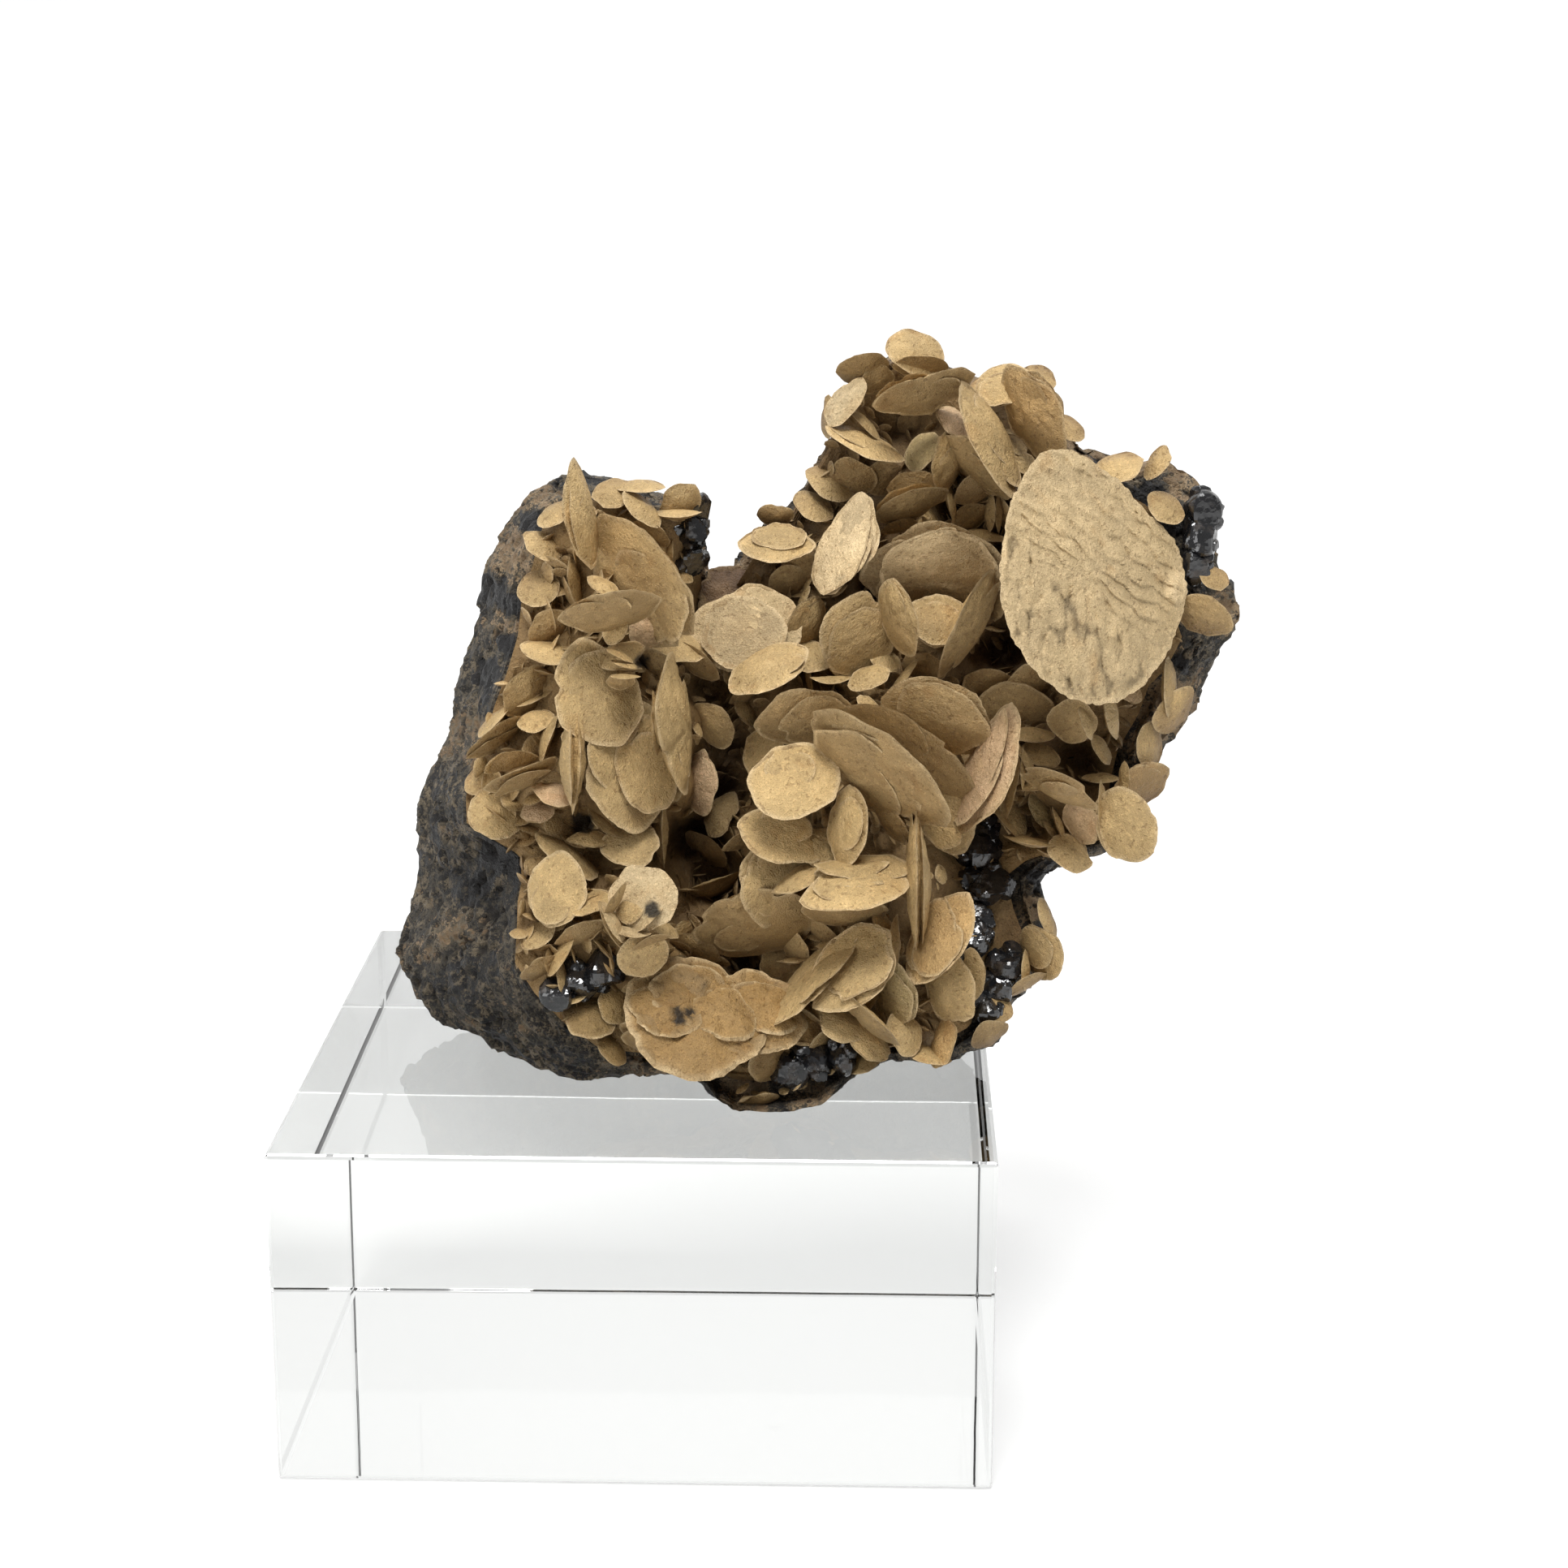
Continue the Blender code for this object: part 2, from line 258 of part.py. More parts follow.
def material(name):
    colour, roughness, metallic = MATERIALS[name]
    made = bpy.data.materials.new(name)
    made.use_nodes = True
    shader = made.node_tree.nodes["Principled BSDF"]
    shader.inputs["Base Color"].default_value = (*colour, 1.0)
    shader.inputs["Roughness"].default_value = roughness
    shader.inputs["Metallic"].default_value = metallic
    if name == "clear acrylic":
        shader.inputs["Transmission Weight"].default_value = 1.0
        shader.inputs["IOR"].default_value = 1.49
    made.diffuse_color = (*colour, 1.0)
    return made


def add_object(name, mesh, collection, surface=None):
    made = bpy.data.objects.new(name, mesh)
    collection.objects.link(made)
    if surface:
        mesh.materials.clear()
        mesh.materials.append(surface)
    else:
        made.hide_render = True
        made.display_type = "WIRE"
    return made


def lofted(name, rings, first_pole, last_pole):
    """A closed mesh through rings of equal length, from one pole to the other."""
    count = len(rings[0])
    verts = np.concatenate([first_pole[None], *rings, last_pole[None]])
    last = len(verts) - 1
    faces = []
    for i in range(count):
        j = (i + 1) % count
        faces.append((0, 1 + i, 1 + j))
        faces.append((last, last - count + j, last - count + i))
        for ring in range(len(rings) - 1):
            low, high = 1 + ring * count, 1 + (ring + 1) * count
            faces.append((low + i, high + i, high + j, low + j))
    mesh = bpy.data.meshes.new(name)
    mesh.from_pydata(verts.tolist(), [], faces)
    face_outward(mesh)
    return mesh


def face_outward(mesh):
    shape = bmesh.new()
    shape.from_mesh(mesh)
    bmesh.ops.triangulate(shape, faces=shape.faces)
    bmesh.ops.recalc_face_normals(shape, faces=shape.faces)
    shape.to_mesh(mesh)
    shape.free()


def swollen(mesh, inner):
    """A copy of the rock with a clearance added: all of it moves towards the eye, and all but the
    inner vertices, those of the hollow, move sideways or up too."""
    copy = mesh.copy()
    for number, vert in enumerate(copy.vertices):
        from_axis = vert.co - Vector(place(*HOLLOW_CENTRE, 0.0))
        outward = from_axis - FORWARD * FORWARD.dot(from_axis)
        foot = vert.co.z - GAP
        vert.co -= FORWARD * 2 * GAP
        if number >= inner + 3 * len(OUTLINE):
            vert.co.z = foot
        if number >= inner:
            if number < inner + 2 * len(OUTLINE):
                outward.z = max(outward.z, 0.0)
            vert.co += outward.normalized() * 0.8 * GAP
    return copy


def joined(target, others, operation):
    """Applies one Boolean with every object of a collection and keeps only the target's largest body."""
    cut = target.modifiers.new(operation.lower(), "BOOLEAN")
    cut.solver = SOLVER
    cut.operation = operation
    cut.operand_type = "COLLECTION"
    cut.collection = others
    apply_modifiers(target)
    keep_largest(target.data)


def apply_modifiers(target):
    mesh = bpy.data.meshes.new_from_object(target.evaluated_get(bpy.context.evaluated_depsgraph_get()))
    target.modifiers.clear()
    target.data = mesh


def keep_largest(mesh):
    """Drops every body but the one with most points, and merges the faces that lie in one plane."""
    shape = bmesh.new()
    shape.from_mesh(mesh)
    left, bodies = set(shape.verts), []
    while left:
        body, edge = set(), [left.pop()]
        while edge:
            vert = edge.pop()
            body.add(vert)
            for link in vert.link_edges:
                other = link.other_vert(vert)
                if other in left:
                    left.remove(other)
                    edge.append(other)
        bodies.append(body)
    bodies.sort(key=len)
    for body in bodies[:-1]:
        bmesh.ops.delete(shape, geom=list(body), context="VERTS")
    bmesh.ops.dissolve_limit(shape, angle_limit=math.radians(1.0), verts=shape.verts, edges=shape.edges)
    bmesh.ops.triangulate(shape, faces=shape.faces)
    shape.to_mesh(mesh)
    shape.free()


def outline_arrays():
    rows = np.array(OUTLINE, float)
    girth = rows[:, :2]
    rim = np.array(HOLLOW_CENTRE) + (girth - HOLLOW_CENTRE) * rows[:, 2:3]
    return girth, rim, rows[:, 3]


def rest_on_block(points, above=0.0):
    """Keeps a piece clear of the block's top, so that it stands there on flat feet."""
    points[:, 2] = np.maximum(points[:, 2], BLOCK_HEIGHT + GAP + above * MM)
    return points


def add_matrix(collection, surface):
    """The rock: a hollowed front, a flaring side and a rounded back, each a ring around the hollow."""
    dice = np.random.RandomState(7)
    girth, rim, girth_out = outline_arrays()
    centre = np.array(HOLLOW_CENTRE)
    rings = []
    for share in FRONT_SHARES:
        ring = centre + (rim - centre) * share
        under_crust = place(ring[:, 0], ring[:, 1], floor_out(ring[:, 0], ring[:, 1]) - CRUST_DEPTH)
        rings.append(rest_on_block(under_crust, 2.2))
    rim_out = floor_out(rim[:, 0], rim[:, 1]) - CRUST_DEPTH
    for share, bulge, above in ((0.5, 1.2, 1.6), (1.0, 0.0, 0.8)):
        ring = rim + (girth - rim) * share
        out = rim_out + (girth_out - rim_out) * share + bulge
        side = place(ring[:, 0], ring[:, 1], out + dice.uniform(-0.5, 0.5, len(out)) * (share < 1))
        rings.append(rest_on_block(side, above))
    for share, depth in ((0.94, 0.38), (0.78, 0.74), (0.48, 0.94)):
        ring = centre + (girth - centre) * (share + dice.uniform(-0.012, 0.012, (len(girth), 1)))
        out = girth_out + (BACK_OUT - girth_out) * depth + dice.uniform(-0.9, 0.9, len(girth))
        rings.append(rest_on_block(place(ring[:, 0], ring[:, 1], out)))
    front = place(*centre, floor_out(*centre) - CRUST_DEPTH)
    back = place(*centre, BACK_OUT)
    return add_object("matrix", lofted("matrix", rings, front, back), collection, surface)


def add_pad(collection, surface):
    """The crust's base: the crystals' grown-together roots, a slab that follows the hollow's floor."""
    _, rim, _ = outline_arrays()
    rim = rim[1::2]
    centre = np.array(HOLLOW_CENTRE)
    rings = []
    for shares, height, above in ((PAD_SHARES, 0.0, 3.6), (PAD_SHARES[::-1], PAD_UNDER, 0.4)):
        for share in shares:
            ring = centre + (rim - centre) * share
            rings.append(rest_on_block(place(ring[:, 0], ring[:, 1], floor_out(ring[:, 0], ring[:, 1]) + height), above))
    front, back = (place(*centre, floor_out(*centre) + height) for height in (0.0, PAD_UNDER))
    return add_object("siderite_crystals", lofted("siderite_crystals", rings, front, back), collection, surface)


def lens_axes(made):
    """A lens's rim directions and the direction that its face looks."""
    lean, toward = math.radians(made["lean"]), math.radians(made["toward"])
    look = RIGHT * math.cos(toward) + UP * math.sin(toward)
    normal = look * math.sin(lean) - FORWARD * math.cos(lean)
    long_way = UP * math.cos(toward) - RIGHT * math.sin(toward)
    return long_way, normal.cross(long_way), normal


def lens_out(made):
    """How far out a lens's centre stands: clear of the floor by its own tilt and thickness."""
    lean = math.radians(made["lean"])
    rise = made["across"] * (0.5 * made["thick"] * math.cos(lean) + 0.28 * math.sin(lean))
    return float(floor_out(made["right"], made["down"])) + rise + made["lift"]


def lens_foot(made):
    """Where a raised lens's root ends: in the crust's base, a little nearer the hollow's centre."""
    middle = np.array(HOLLOW_CENTRE)
    here = np.array((made["right"], made["down"]))
    away = here - middle
    base = here - away * ROOT_INWARD / max(np.hypot(*away), ROOT_INWARD)
    return Vector(place(*base, float(floor_out(*base)) - ROOT_DEPTH))


def add_lenses(collection):
    """Every lens: a rim of flat facets, a face that bulges a little, and a back that tapers to a root."""
    dice = np.random.RandomState(11)
    for number, made in enumerate(CRYSTALS):
        turn = dice.uniform(0, math.tau)
        if made["across"] < SMALLEST_LENS:
            continue
        long_way, short_way, normal = lens_axes(made)
        size, thick = made["across"] * MM / 2, made["across"] * MM * made["thick"] / 2
        centre = Vector(place(made["right"], made["down"], lens_out(made)))
        sides = 8 if made["across"] >= LARGE_LENS else 6

        def ring(share, height):
            angles = [turn + math.tau * i / sides for i in range(sides)]
            return np.array(
                [
                    centre
                    + (long_way * math.cos(angle) + short_way * (math.sin(angle) * made["broad"])) * size * share
                    + normal * height
                    for angle in angles
                ]
            )

        root = lens_foot(made)
        short_of = normal.dot(root - centre) + thick
        if short_of > 0 or FORWARD.dot(root - centre) < thick:
            root = root - normal * max(short_of, 0) if FORWARD.dot(root - centre) > thick else centre - normal * thick
        rings = [ring(1.0, 0.0)]
        if sides == 8:
            rings.append(ring(0.6, thick * 0.8))
        name = f"lens_{number}"
        add_object(name, lofted(name, rings, np.array(root), np.array(centre + normal * thick)), collection)


def add_cutter(name, shape, collection):
    mesh = bpy.data.meshes.new(name)
    shape.to_mesh(mesh)
    shape.free()
    face_outward(mesh)
    return add_object(name, mesh, collection)


def add_grains(name, grains, swell, seed, collection):
    """Sphalerite grains: faceted balls turned at random, larger by swell to cut their own pocket."""
    dice = np.random.RandomState(seed)
    for number, (right, down, size, lift) in enumerate(grains):
        shape = bmesh.new()
        axis = Vector(dice.normal(size=3)).normalized()
        turn = Matrix.Rotation(dice.uniform(0, math.tau), 4, axis)
        scale = Matrix.Diagonal((*(size * MM / 2 * dice.uniform(0.88, 1.1, 3) + swell), 1.0))
        where = Vector(place(right, down, floor_out(right, down) + lift))
        bmesh.ops.create_icosphere(shape, subdivisions=1, radius=1.0, matrix=Matrix.Translation(where) @ turn @ scale)
        add_cutter(f"{name}_{number}", shape, collection)


def add_clearance(collection):
    """The space of the block with its clearance, which nothing else may enter."""
    shape = bmesh.new()
    size = Matrix.Diagonal((3 * BLOCK_WIDTH, 3 * BLOCK_DEPTH, BLOCK_HEIGHT, 1.0))
    centre = Matrix.Translation((0, 0, BLOCK_HEIGHT / 2 + GAP))
    bmesh.ops.create_cube(shape, size=1.0, matrix=centre @ size)
    return add_cutter("block_clearance_box", shape, collection)


def add_block(collection, surface):
    shape = bmesh.new()
    size = Matrix.Diagonal((BLOCK_WIDTH, BLOCK_DEPTH, BLOCK_HEIGHT, 1.0))
    bmesh.ops.create_cube(shape, size=1.0, matrix=Matrix.Translation((0, 0, BLOCK_HEIGHT / 2)) @ size)
    mesh = bpy.data.meshes.new("display_block")
    shape.to_mesh(mesh)
    shape.free()
    block = add_object("display_block", mesh, collection, surface)
    edge = block.modifiers.new("polished edges", "BEVEL")
    edge.width = BLOCK_EDGE
    edge.segments = 2
    return block


def new_collection(name, parent):
    made = bpy.data.collections.new(name)
    parent.children.link(made)
    return made


def add_group(name, grains, swell, seed, collection, cutters, surface=None):
    """One sphalerite group: its first grain, joined with the others."""
    loose = new_collection(name + "_grains", cutters)
    add_grains(name + "_grain", grains, swell, seed, loose)
    first = loose.objects[name + "_grain_0"]
    group = add_object(name, first.data, collection, surface)
    bpy.data.objects.remove(first)
    joined(group, loose, "UNION")
    return group


def main():
    for old in list(bpy.data.objects):
        bpy.data.objects.remove(old)
    parts = new_collection("siderite", bpy.context.scene.collection)
    cutters = new_collection("cutters", bpy.context.scene.collection)

    add_block(parts, material("clear acrylic"))
    matrix = add_matrix(parts, material("rock"))
    rock = new_collection("rock_and_block_clearance", cutters)
    add_object("rock_cutter", swollen(matrix.data, 1 + (len(FRONT_SHARES) - 1) * len(OUTLINE)), rock)
    add_clearance(rock)

    black = material("sphalerite")
    pockets = new_collection("pockets", cutters)
    for number, (name, grains) in enumerate(SPHALERITE.items()):
        add_group(name + "_pocket", grains, GAP, number, pockets, cutters)
        joined(add_group(name, grains, 0.0, number, parts, cutters, black), rock, "DIFFERENCE")

    crust = add_pad(parts, material("siderite"))
    lenses = new_collection("lenses", cutters)
    add_lenses(lenses)
    joined(crust, lenses, "UNION")
    for cutter in rock.objects:
        pockets.objects.link(cutter)
    joined(crust, pockets, "DIFFERENCE")


main()
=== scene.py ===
# A siderite specimen: tan lens-shaped crystals crowd a hollow in dark sulphide rock, with black
# sphalerite between them, and it stands on a clear display block.
# Metres, +Z up. Places on the sight plane are millimetres: right, down, and out towards the eye.
import math

import bpy
import numpy as np
from mathutils import Matrix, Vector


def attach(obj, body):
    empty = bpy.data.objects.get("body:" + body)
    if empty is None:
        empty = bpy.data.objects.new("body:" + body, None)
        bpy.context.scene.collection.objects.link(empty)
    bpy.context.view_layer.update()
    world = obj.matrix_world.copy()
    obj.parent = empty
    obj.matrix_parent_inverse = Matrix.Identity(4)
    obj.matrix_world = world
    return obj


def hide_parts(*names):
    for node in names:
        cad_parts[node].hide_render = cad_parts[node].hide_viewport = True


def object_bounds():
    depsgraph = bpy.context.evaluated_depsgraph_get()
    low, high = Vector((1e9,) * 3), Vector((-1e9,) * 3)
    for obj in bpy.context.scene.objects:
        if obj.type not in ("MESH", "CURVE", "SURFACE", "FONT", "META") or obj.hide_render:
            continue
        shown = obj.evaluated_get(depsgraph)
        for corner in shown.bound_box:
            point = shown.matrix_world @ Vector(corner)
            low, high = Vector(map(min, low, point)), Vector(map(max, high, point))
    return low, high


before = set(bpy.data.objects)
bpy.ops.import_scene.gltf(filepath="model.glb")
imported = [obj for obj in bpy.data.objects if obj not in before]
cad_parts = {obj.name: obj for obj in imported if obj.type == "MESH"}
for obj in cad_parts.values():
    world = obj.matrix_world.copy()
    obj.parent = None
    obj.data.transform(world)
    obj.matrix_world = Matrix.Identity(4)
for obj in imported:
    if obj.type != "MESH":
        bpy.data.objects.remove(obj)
cadBox = [list(corner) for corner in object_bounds()]

mm = 0.001
sight = {
    "eye": (0.0278, -0.3716, 0.1753),
    "yaw": math.radians(-1.7),
    "pitch": math.radians(15.0),
    "distance": 0.372,  # from the eye to the sight plane
    "half": 96.6,       # half the picture's side on that plane, mm
}
eye = np.array(sight["eye"])
forward = np.array([
    math.sin(sight["yaw"]) * math.cos(sight["pitch"]),
    math.cos(sight["yaw"]) * math.cos(sight["pitch"]),
    -math.sin(sight["pitch"]),
])
rightWay = np.array([math.cos(sight["yaw"]), -math.sin(sight["yaw"]), 0.0])
upWay = np.cross(rightWay, forward)

blockTop = 0.0418
hollow = {
    "centre": (84.0, 101.0),
    "back": -36.0,      # the rock's back, out
    # the rock's widest outline: right, down, the share of it where the front rim lies, and out
    "outline": (
        (65.5, 60.8, 0.93, -8), (69.5, 58.9, 0.95, -6), (75.0, 59.4, 0.96, -6), (80.5, 60.8, 0.96, -7),
        (84.5, 61.6, 0.96, -8), (85.9, 65.0, 0.95, -9), (86.6, 70.0, 0.95, -11), (87.2, 74.2, 0.95, -13),
        (88.4, 71.6, 0.92, -12), (91.8, 68.8, 0.93, -12), (94.5, 64.6, 0.94, -12), (98.6, 60.4, 0.95, -12),
        (104.1, 50.6, 0.95, -11), (107.6, 44.6, 0.95, -10),
        (110.0, 43.0, 0.96, -10), (113.0, 41.6, 0.96, -9), (116.5, 44.6, 0.96, -8), (120.5, 46.0, 0.96, -8),
        (125.5, 45.4, 0.96, -8), (129.0, 47.6, 0.95, -8), (130.6, 51.6, 0.94, -8), (134.0, 54.6, 0.93, -8),
        (139.6, 56.6, 0.92, -8), (143.2, 55.8, 0.92, -8), (147.4, 58.4, 0.92, -8), (149.3, 61.0, 0.92, -8),
        (149.5, 66.5, 0.92, -8), (149.0, 69.4, 0.91, -8), (151.6, 72.5, 0.91, -9), (152.8, 76.0, 0.91, -9),
        (150.6, 80.2, 0.91, -9), (148.2, 82.6, 0.91, -9), (147.4, 86.5, 0.90, -9), (144.0, 91.2, 0.91, -8),
        (142.4, 95.0, 0.92, -7), (141.2, 98.6, 0.93, -6), (140.8, 103.6, 0.93, -5), (136.4, 104.6, 0.93, -5),
        (130.4, 106.4, 0.93, -6), (127.6, 108.6, 0.93, -6), (128.6, 113.0, 0.93, -6), (130.4, 117.6, 0.93, -6),
        (127.0, 121.2, 0.93, -5), (123.4, 124.6, 0.94, -4), (122.0, 128.2, 0.95, -3), (116.6, 130.6, 0.96, 0),
        (110.0, 130.6, 0.96, 2), (105.6, 132.2, 0.96, 4), (101.4, 136.2, 0.96, 5), (96.6, 136.9, 0.96, 6),
        (92.2, 137.0, 0.96, 6), (88.4, 135.2, 0.96, 4), (84.6, 132.0, 0.96, 2), (79.6, 131.8, 0.95, 0),
        (72.6, 132.8, 0.90, -5), (66.4, 131.2, 0.84, -9), (60.8, 128.6, 0.79, -14), (55.0, 125.8, 0.72, -19),
        (50.8, 121.4, 0.62, -23), (49.2, 118.4, 0.59, -25), (50.1, 113.6, 0.59, -26), (51.4, 108.2, 0.62, -25),
        (52.0, 101.6, 0.84, -24), (52.6, 97.6, 0.86, -23), (54.2, 93.2, 0.87, -22), (56.4, 88.6, 0.88, -20),
        (56.7, 84.6, 0.86, -19), (58.0, 79.0, 0.84, -17), (59.6, 73.6, 0.84, -15), (60.4, 69.0, 0.85, -13),
        (62.4, 65.0, 0.87, -11),
    ),
    # the floor that the crystals stand on: right, down, out
    "floor": (
        (64, 62, 2), (66, 75, 3), (63, 88, 2), (58, 95, -1), (60, 103, 1), (66, 115, 6), (67, 122, 6),
        (72, 66, 6), (78, 64, 5), (84, 62, 2), (76, 74, 8), (83, 75, 3), (74, 84, 8), (73, 92, 9),
        (78, 100, 9), (68, 96, 5), (83, 88, 6), (84, 97, 3), (79, 110, 9), (72, 112, 7), (79, 118, 8),
        (73.5, 103.5, -1), (88, 75, -11), (87.5, 85, -8), (90, 92, -10), (88, 97, -14), (85, 103, -14),
        (88, 108, -13), (92, 119, -13), (84, 113, -4), (92, 78, -4), (99, 78, -5), (96, 67, -6),
        (101, 61, -8), (105, 66, -4), (108, 73, -11), (106, 79, -3), (98, 89, 0), (98, 96, 3),
        (108, 90, 3), (115, 89, 1), (110, 98, 2), (116, 100, 0), (120, 93, -2), (104, 102, 3),
        (97, 104, 2), (106, 109, 5), (113, 109, 3), (116, 115, 3), (120, 103, -8), (120, 111, -4),
        (93, 113, -6), (99, 112, -3), (105, 119, 3), (100, 121, 0), (110, 122, 2), (117, 122, 2),
        (85, 125, 3), (92, 124, 3), (76, 125, 3), (95, 130, 3), (104, 127, 5), (112, 127, 5),
        (118, 127, 2), (122, 127, 0), (113, 70, -5), (111, 76, -2), (116, 76, -1), (120, 76, -4),
        (123.5, 80, -13), (121, 85, -7), (126, 87, -6), (135, 70, 2), (142, 60, -1), (145, 78, -1),
        (133, 89, -2), (138, 86, -3), (133, 93.5, -9), (130, 97, 0), (138, 101, 0), (141, 96, -3),
        (126, 95, -1), (127, 101, -7), (130, 105, 0), (125, 112, -3), (127, 118, -3), (124, 122, -2),
        (106, 46, -4), (112, 43, -5), (116, 48, -3), (111, 52, -10), (105, 51, -4), (104, 56, -6),
        (107, 60, -10), (117, 56, -5), (121, 54, -2), (127, 50, -4), (124, 47, -4), (113, 60, -5),
        (113, 63, -5), (119, 62, -10), (122, 66, -9),
    ),
}


def place(right, down, out):
    # world point = eye + distance along the line of sight * (forward + right share + up share)
    along = sight["distance"] - np.asarray(out, float) * mm
    across = (np.asarray(right, float) - sight["half"]) * mm / sight["distance"]
    rise = (sight["half"] - np.asarray(down, float)) * mm / sight["distance"]
    ray = forward + across[..., None] * rightWay + rise[..., None] * upWay
    return eye + along[..., None] * ray


def sightOf(points):
    # the reverse of place: right, down and out of world points
    ray = points - eye
    along = ray @ forward
    right = sight["half"] + (ray @ rightWay) / along * sight["distance"] / mm
    down = sight["half"] - (ray @ upWay) / along * sight["distance"] / mm
    return right, down, (sight["distance"] - along) / mm


def floorOut(right, down):
    # weighted mean of the floor's points, each weighted by one over its distance cubed
    right, down = np.asarray(right, float)[..., None], np.asarray(down, float)[..., None]
    points = np.array(hollow["floor"], float)
    weight = ((right - points[:, 0]) ** 2 + (down - points[:, 1]) ** 2 + 1.5) ** -1.5
    return (weight * points[:, 2]).sum(axis=-1) / weight.sum(axis=-1)


def latticeValue(corner, seed):
    # a fixed random number from -1 to 1 for each whole-number lattice corner
    x, y, z = (corner[..., i].astype(np.uint64) for i in range(3))
    mixed = x * np.uint64(374761393) + y * np.uint64(668265263) + z * np.uint64(2246822519)
    mixed = (mixed + np.uint64(seed * 3266489917)) & np.uint64(0xFFFFFFFF)
    mixed = ((mixed ^ (mixed >> np.uint64(15))) * np.uint64(2246822519)) & np.uint64(0xFFFFFFFF)
    mixed = ((mixed ^ (mixed >> np.uint64(13))) * np.uint64(3266489917)) & np.uint64(0xFFFFFFFF)
    mixed = mixed ^ (mixed >> np.uint64(16))
    return (mixed & np.uint64(0xFFFF)).astype(float) / 32767.5 - 1.0


def bumps(points, cell, seed=0):
    # smooth noise: lattice numbers blended by smoothstep between the eight corners
    spot = points / cell + 4096.0
    low = np.floor(spot)
    part = spot - low
    part = part * part * (3 - 2 * part)
    total = 0.0
    for corner in np.ndindex(2, 2, 2):
        weight = np.prod(np.where(np.array(corner) == 1, part, 1 - part), axis=-1)
        total = total + weight * latticeValue(low + np.array(corner), seed)
    return total


def rough(points, cell, octaves=4, seed=0, fade=0.5):
    # a sum of bumps, each octave half as wide and fade times as high
    return sum(bumps(points, cell / 2**i, seed + i) * fade**i for i in range(octaves))


def chips(points, cell, seed=0):
    # broken facets: each point takes the tilted plane of its nearest scattered seed point.
    # Gives the plane's height and the distance to the seed, both in cells.
    spot = points / cell + 4096.0
    low = np.floor(spot)
    best = np.full(points.shape[:-1], 9.0)
    height = np.zeros(points.shape[:-1])
    for step in np.ndindex(3, 3, 3):
        corner = low + np.array(step) - 1
        shift = np.stack([latticeValue(corner, seed + i) for i in range(3)], axis=-1) * 0.42 + 0.5
        tilt = np.stack([latticeValue(corner, seed + 5 + i) for i in range(3)], axis=-1)
        offset = spot - corner - shift
        distance = (offset**2).sum(axis=-1) ** 0.5
        nearer = distance < best
        best = np.where(nearer, distance, best)
        height = np.where(nearer, (offset * tilt).sum(axis=-1), height)
    return height, best


def smooth(low, high, value):
    share = np.clip((value - low) / (high - low), 0, 1)
    return share * share * (3 - 2 * share)


def towards(tone, other, share):
    # a colour moved by this share towards another
    return tone + (other - tone) * share[..., None]


def poled(grid, first, last):
    # rows * columns values between a first and a last pole, as one list
    return np.concatenate([first[None], grid.reshape(-1, 3), last[None]])


def shellList(grids):
    # the same for several grids whose own first and last rows are the poles
    inner = grids[:, 1:-1].reshape(len(grids), -1, 3)
    return np.concatenate([grids[:, :1, 0], inner, grids[:, -1:, 0]], axis=1).reshape(-1, 3)


def newPiece(name, points, quads, triangles, colours=None, vectors=None, sharp=None):
    # one mesh object from whole arrays, kept just inside the CAD box; sharp edges from this angle on
    inset = 0.05 * mm
    points = np.clip(points, np.array(cadBox[0]) + inset, np.array(cadBox[1]) - inset)
    mesh = bpy.data.meshes.new(name)
    mesh.vertices.add(len(points))
    mesh.vertices.foreach_set("co", points.astype(np.float32).ravel())
    corners = np.concatenate([quads.ravel(), triangles.ravel()])
    starts = np.concatenate([
        np.arange(len(quads)) * 4,
        len(quads) * 4 + np.arange(len(triangles)) * 3,
    ])
    mesh.loops.add(len(corners))
    mesh.loops.foreach_set("vertex_index", corners.astype(np.int32))
    mesh.polygons.add(len(starts))
    mesh.polygons.foreach_set("loop_start", starts.astype(np.int32))
    mesh.update(calc_edges=True)
    mesh.validate()
    for key, value in (colours or {}).items():
        paint = np.concatenate([value, np.ones((len(value), 1))], axis=1).astype(np.float32)
        mesh.color_attributes.new(key, "FLOAT_COLOR", "POINT").data.foreach_set("color", paint.ravel())
    for key, value in (vectors or {}).items():
        spot = mesh.attributes.new(key, "FLOAT_VECTOR", "POINT")
        spot.data.foreach_set("vector", value.astype(np.float32).ravel())
    mesh.shade_smooth()
    if sharp:
        mesh.set_sharp_from_angle(angle=math.radians(sharp))
    piece = bpy.data.objects.new(name, mesh)
    bpy.context.scene.collection.objects.link(piece)
    return piece


def capsOf(rows, columns, count=1):
    # faces of closed shells, each a first pole, rows * columns points and a last pole
    row, column = np.meshgrid(np.arange(rows - 1), np.arange(columns), indexing="ij")
    after = (column + 1) % columns
    quads = 1 + np.stack([
        row * columns + column, row * columns + after,
        (row + 1) * columns + after, (row + 1) * columns + column,
    ], axis=-1).reshape(-1, 4)
    side = np.arange(columns)
    after = (side + 1) % columns
    last = 1 + rows * columns
    first = np.stack([np.zeros_like(side), 1 + after, 1 + side], axis=-1)
    final = 1 + (rows - 1) * columns + np.stack([side, after], axis=-1)
    final = np.concatenate([final, np.full((columns, 1), last)], axis=1)
    triangles = np.concatenate([first, final])
    step = (np.arange(count) * (last + 1))[:, None, None]
    return (quads + step).reshape(-1, 4), (triangles + step).reshape(-1, 3)


def gridNormals(grid):
    # outward normals of a rows * columns grid that closes across its columns
    along = np.roll(grid, -1, axis=1) - np.roll(grid, 1, axis=1)
    across = np.gradient(grid, axis=0)
    normal = np.cross(along, across)
    return normal / np.maximum(np.linalg.norm(normal, axis=-1, keepdims=True), 1e-12)


